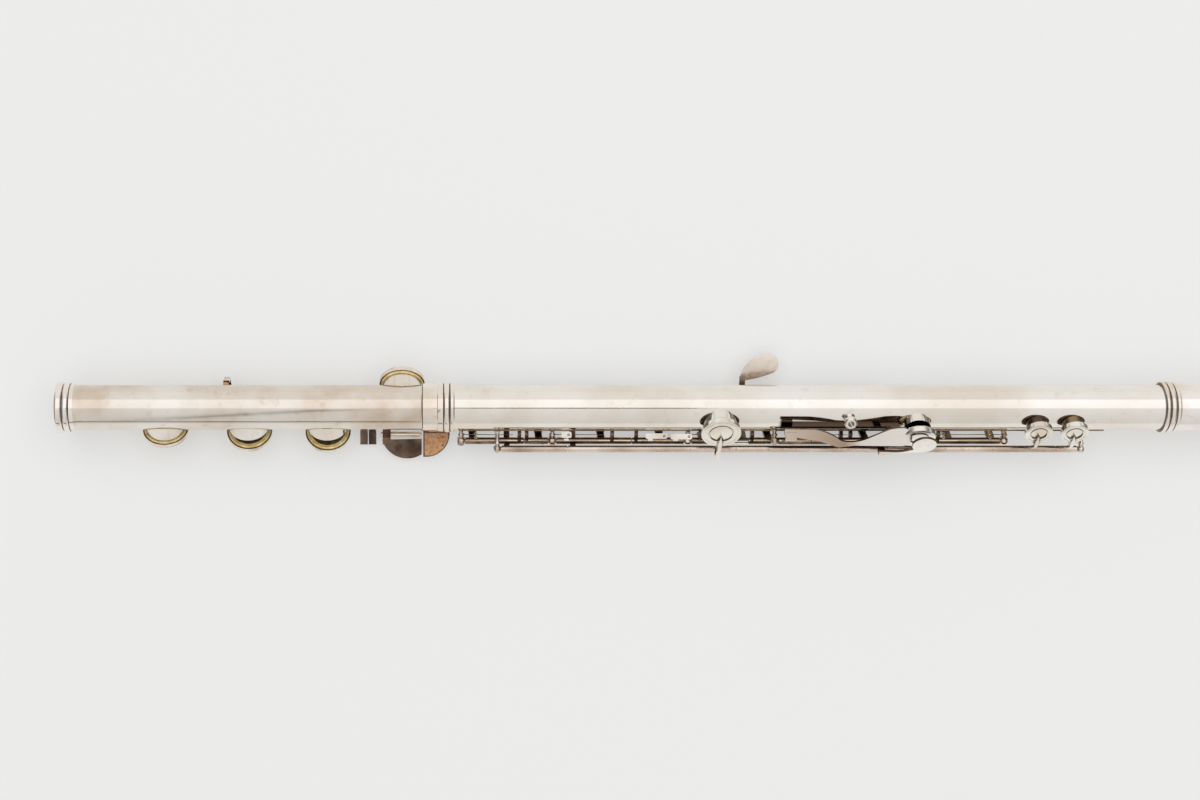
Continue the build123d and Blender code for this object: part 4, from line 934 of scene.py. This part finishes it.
smallBall(wires, longNeedle["ballAt"], longNeedle["ball"], 16, 10)
bmesh.ops.recalc_face_normals(eyes, faces=eyes.faces)
placePiece("backNeedleSprings", wires, rodSteel, "body", [], 40)
placePiece("springEyes", eyes, postSilver, "body", [], 40)

# Plates that carry a key's adjusting screw: (from, to, inner side, outer side), each with a
# foot down to its hinge tube.
clutch = {"plates": ((259.8, 269.4, -11.6, -14.0), (270.9, 280.4, -11.8, -14.3),
                     (222.5, 227.0, -10.9, -13.6)),
          "thick": 0.75, "edge": 0.18, "corner": 0.7, "back": -4.75,
          "foot": (1.0, 3.4, -14.0, -15.0), "footDown": 0.3, "footThick": 1.6,
          "screwIn": 1.3, "screw": 0.62, "screwHigh": 0.2, "screwProud": 0.04}


def roundedSlab(shape, x0, x1, y0, y1, top, thick, corner):
    # A plate with round corners, extruded up to its top.
    made = bmesh.ops.create_grid(shape, x_segments=1, y_segments=1, size=0.5)["verts"]
    bmesh.ops.scale(shape, vec=((x1 - x0) * mm, (y0 - y1) * mm, 1), verts=made)
    bmesh.ops.translate(shape, vec=Vector(((x0 + x1) / 2, (y0 + y1) / 2, top - thick)) * mm,
        verts=made)
    bmesh.ops.bevel(shape, geom=made, offset=corner * mm, offset_type="OFFSET", segments=4,
        profile=0.5, affect="VERTICES", clamp_overlap=True, material=-1)
    level = [f for f in shape.faces if len(f.verts) > 6
        and abs(f.calc_center_median().z / mm - top + thick) < 0.01]
    face = max(level, key=lambda f: f.calc_area())
    raised = bmesh.ops.extrude_face_region(shape, geom=[face])["geom"]
    bmesh.ops.translate(shape, vec=(0, 0, thick * mm),
        verts=[v for v in raised if isinstance(v, bmesh.types.BMVert)])


for number, (x0, x1, y0, y1) in enumerate(clutch["plates"]):
    node = keyAt((x0 + x1) / 2)
    shape = bmesh.new()
    roundedSlab(shape, x0, x1, y0, y1, clutch["back"], clutch["thick"], clutch["corner"])
    near, far, inner, outer = clutch["foot"]
    roundedSlab(shape, x0 + near, x0 + far, inner, outer, clutch["back"] - clutch["footDown"],
        clutch["footThick"], clutch["corner"])
    bmesh.ops.recalc_face_normals(shape, faces=shape.faces)
    edges = [e for e in shape.edges if e.calc_face_angle(0.0) > radians(60)]
    bevelEdges(shape, edges, clutch["edge"], 2)
    placePiece(f"clutchPlate{number}", shape, touchSilver, bodyOf[node], [], 40)
    centre = Vector((x1 - clutch["screwIn"], (y0 + y1) / 2,
        clutch["back"] + clutch["screwProud"])) * mm
    slottedScrew(f"clutchScrew{number}", centre, Vector((0, 0, 1)), clutch["screw"],
        clutch["screwHigh"], bodyOf[node], 0.7 + number)

bumper = {"balls": ((417.9, -10.7, -3.6, 0.85), (412.2, -11.9, -4.6, 0.8)), "pin": 0.35,
          "pinLean": 0.9, "pinDeep": 1.4}
balls = bmesh.new()
for x, y, z, r in bumper["balls"]:
    smallBall(balls, (x, y, z), r, 20, 12)
    taperedPin(balls, (x, y, z), (x, y * bumper["pinLean"], z - bumper["pinDeep"]), bumper["pin"],
        bumper["pin"])
placePiece("bumperBalls", balls, brassTurned, "body", [], 40)
print("back details made")

touchTube = {"r": 1.35, "side": -12.2, "x0": 142.0, "x1": 160.6, "outside": -14.5, "lift": 0.6,
             "start": ((0.0, 0.25), (0.2, 0.0), (2.2, 0.0), (2.35, 2.9, 0.3), (3.05, 0.0)),
             "end": ((-0.9, 0.0), (-0.75, 0.25), (-0.2, 0.35))}
r, x0, x1 = touchTube["r"], touchTube["x0"], touchTube["x1"]
lowest = min(v.co.z for v in nodes["c_sharp_key"].data.vertices if x0 * mm < v.co.x < x1 * mm
    and v.co.y < touchTube["outside"] * mm) / mm
shape = spun([(x0, 0)] + moulded(x0, r, touchTube["start"]) + moulded(x1, r, touchTube["end"])
    + [(x1, 0)], 32)
bmesh.ops.translate(shape, vec=Vector((0, touchTube["side"], lowest + touchTube["lift"])) * mm,
    verts=shape.verts)
placePiece("cSharpTouchTube", shape, keySilver, bodyOf["c_sharp_key"], [], 40)

corkHole = {"r": 0.42, "taper": 0.7, "deep": 0.25, "proud": 0.03,
            "at": ((0.76, 0.80), (0.76, 0.46), (0.62, 0.18))}  # shares of the cork's length, width
low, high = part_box("e_flat_cork")
# The holes are dark discs set into the cork; their darkness is painted shade in place of the holes'
# depth.
pits = bmesh.new()
for along, across in corkHole["at"]:
    x, y = low.x + (high.x - low.x) * along, low.y + (high.y - low.y) * across
    x, y, z = x / mm, y / mm, high.z / mm
    taperedPin(pits, (x, y, z - corkHole["deep"]), (x, y, z + corkHole["proud"]),
        corkHole["r"] * corkHole["taper"], corkHole["r"], 14)
placePiece("corkPits", pits, corkHoleShade, bodyOf["e_flat_cork"], [], 40)
print("foot details made")


studio = {"floor": "EBEBEA", "floorGlow": "E9E9E7", "glowShare": 0.45, "wide": 30000,
          "floorMiddle": 0.35}
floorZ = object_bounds()[0][2]


def stageSheet(name, material, widthMm, depthMm, place):
    shape = bmesh.new()
    bmesh.ops.create_grid(shape, x_segments=1, y_segments=1, size=0.5)
    bmesh.ops.scale(shape, vec=(widthMm * mm, depthMm * mm, 1), verts=shape.verts)
    bmesh.ops.transform(shape, matrix=place, verts=shape.verts)
    sheet = meshObject(name, shape, material)
    return sheet


# Matt paper: a pale, even sheet, which the eye and the silver see a little brighter than its
# shadows alone would leave it.
material, tree, shader, place = newMaterial("paperMattFloor")
setValues(shader,
    {"Base Color": linear(studio["floor"]), "Roughness": 0.95, "Specular IOR Level": 0.1})
glow = addNode(tree, "Emission", values={"Color": linear(studio["floorGlow"]), "Strength": 1.0})
seen = addNode(tree, "LightPath")
direct = addNode(tree, "Math", {"operation": "MAXIMUM"},
    links={0: (seen, "Is Camera Ray"), 1: (seen, "Is Glossy Ray")})
share = addNode(tree, "Math", {"operation": "MULTIPLY"}, {1: studio["glowShare"]},
    {0: (direct, "Value")})
sheetMix = addNode(tree, "MixShader",
    links={0: (share, "Value"), 1: (shader, "BSDF"), 2: (glow, "Emission")})
output = next(node for node in tree.nodes if node.type == "OUTPUT_MATERIAL")
tree.links.new(sheetMix.outputs["Shader"], output.inputs["Surface"])
stageSheet("studioFloor", material, studio["wide"], studio["wide"],
    Matrix.Translation((studio["floorMiddle"], 0, floorZ)))

# Bars of matt cloth that only the silver reflects, as thin dark lines along the tube.
booms = ({"start": (0.17, -0.085, 1.15), "end": (0.42, -0.095, 1.15), "deepMm": 70,
          "colour": "2E2926"},
         {"start": (0.07, -0.22, 1.12), "end": (-0.25, -1.9, 0.5), "deepMm": 32,
          "colour": "8A837D"},
         {"start": (-1.9, -1.5, 0.27), "end": (0.14, -1.5, 0.27), "deepMm": 120,
          "colour": "4A4440"})
boomAim = Vector((0.17, 0, 0))
for number, boom in enumerate(booms):
    material, tree, shader, place = newMaterial(f"fabricMattBoom{number}")
    setValues(shader, {"Base Color": linear(boom["colour"]), "Roughness": 0.9})
    start, end = Vector(boom["start"]), Vector(boom["end"])
    along = (end - start).normalized()
    facing = (boomAim - (start + end) / 2).normalized()
    sideways = facing.cross(along).normalized()
    turn = Matrix((along, sideways, along.cross(sideways))).transposed().to_4x4()
    bar = stageSheet(f"boomBar{number}", material, (end - start).length / mm, boom["deepMm"],
        Matrix.Translation((start + end) / 2) @ turn)
    bar.visible_camera = bar.visible_shadow = bar.visible_diffuse = False

# Paler overhead and on the far side, dark beyond both ends of the flute, which gives its tube
# and balls their darker ends; the eye sees an even pale backdrop.
sky = {"even": 0.78, "up": 0.05, "far": 0.08, "dimFrom": 0.42, "dimTo": 0.80, "dimmest": 0.16,
       "seen": 0.82}
world = bpy.data.worlds.new("studioWorld")
bpy.context.scene.world = world
world.use_nodes = True
tree = world.node_tree
background = tree.nodes["Background"]
place = addNode(tree, "TexCoord")
split = addNode(tree, "SeparateXYZ", links={"Vector": (place, "Generated")})
rise = addNode(tree, "Math", {"operation": "MULTIPLY_ADD"}, {1: sky["up"], 2: sky["even"]},
    {0: (split, "Z")})
lean = addNode(tree, "Math", {"operation": "MULTIPLY_ADD"}, {1: sky["far"]},
    {0: (split, "Y"), 2: (rise, "Value")})
endways = addNode(tree, "Math", {"operation": "ABSOLUTE"}, links={0: (split, "X")})
dim = addNode(tree, "MapRange", {"interpolation_type": "SMOOTHSTEP"},
    {"From Min": sky["dimFrom"], "From Max": sky["dimTo"], "To Min": 1.0, "To Max": sky["dimmest"]},
    {"Value": (endways, "Value")})
shade = addNode(tree, "Math", {"operation": "MULTIPLY"},
    links={0: (lean, "Value"), 1: (dim, "Result")})
seen = addNode(tree, "LightPath")
plain = addNode(tree, "Mix", {"data_type": "FLOAT"}, {3: sky["seen"]},
    {0: (seen, "Is Camera Ray"), 2: (shade, "Value")})
tree.links.new(plain.outputs[0], background.inputs["Strength"])
setValues(background, {"Color": linear("FFFFFF")})

lamps = {"bandSoftbox": {"power": 3.2, "wide": 3.4, "deep": 1.15, "place": (1.1, 0.43, 1.3),
                         "tilt": -12, "colour": "F4F8FF", "reflected": True},
         "fillSoftbox": {"power": 47.0, "wide": 4.5, "deep": 4.5, "place": (0.35, 0.3, 2.6),
                         "tilt": -5, "colour": "FFFFFF", "reflected": False}}
for name, settings in lamps.items():
    lamp = bpy.data.lights.new(name, "AREA")
    lamp.shape, lamp.energy = "RECTANGLE", settings["power"]
    lamp.size, lamp.size_y = settings["wide"], settings["deep"]
    lamp.color = linear(settings["colour"])[:3]
    softbox = bpy.data.objects.new(name, lamp)
    softbox.location = settings["place"]
    softbox.rotation_euler = (radians(settings["tilt"]), 0, 0)
    softbox.visible_glossy = settings["reflected"]
    bpy.context.scene.collection.objects.link(softbox)

view = {"lens": 65.0, "height": 0.956, "side": 0.0032, "shift": 0.1308, "pastSocketMm": 5.0}
cameraData = bpy.data.cameras.new("viewCamera")
cameraData.lens, cameraData.shift_x = view["lens"], view["shift"]
camera = bpy.data.objects.new("viewCamera", cameraData)
camera.location = (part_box("foot_socket")[1].x - view["pastSocketMm"] * mm, view["side"],
    view["height"])
bpy.context.scene.collection.objects.link(camera)
bpy.context.scene.camera = camera
bpy.context.scene.view_settings.view_transform = "Standard"
print("studio set")
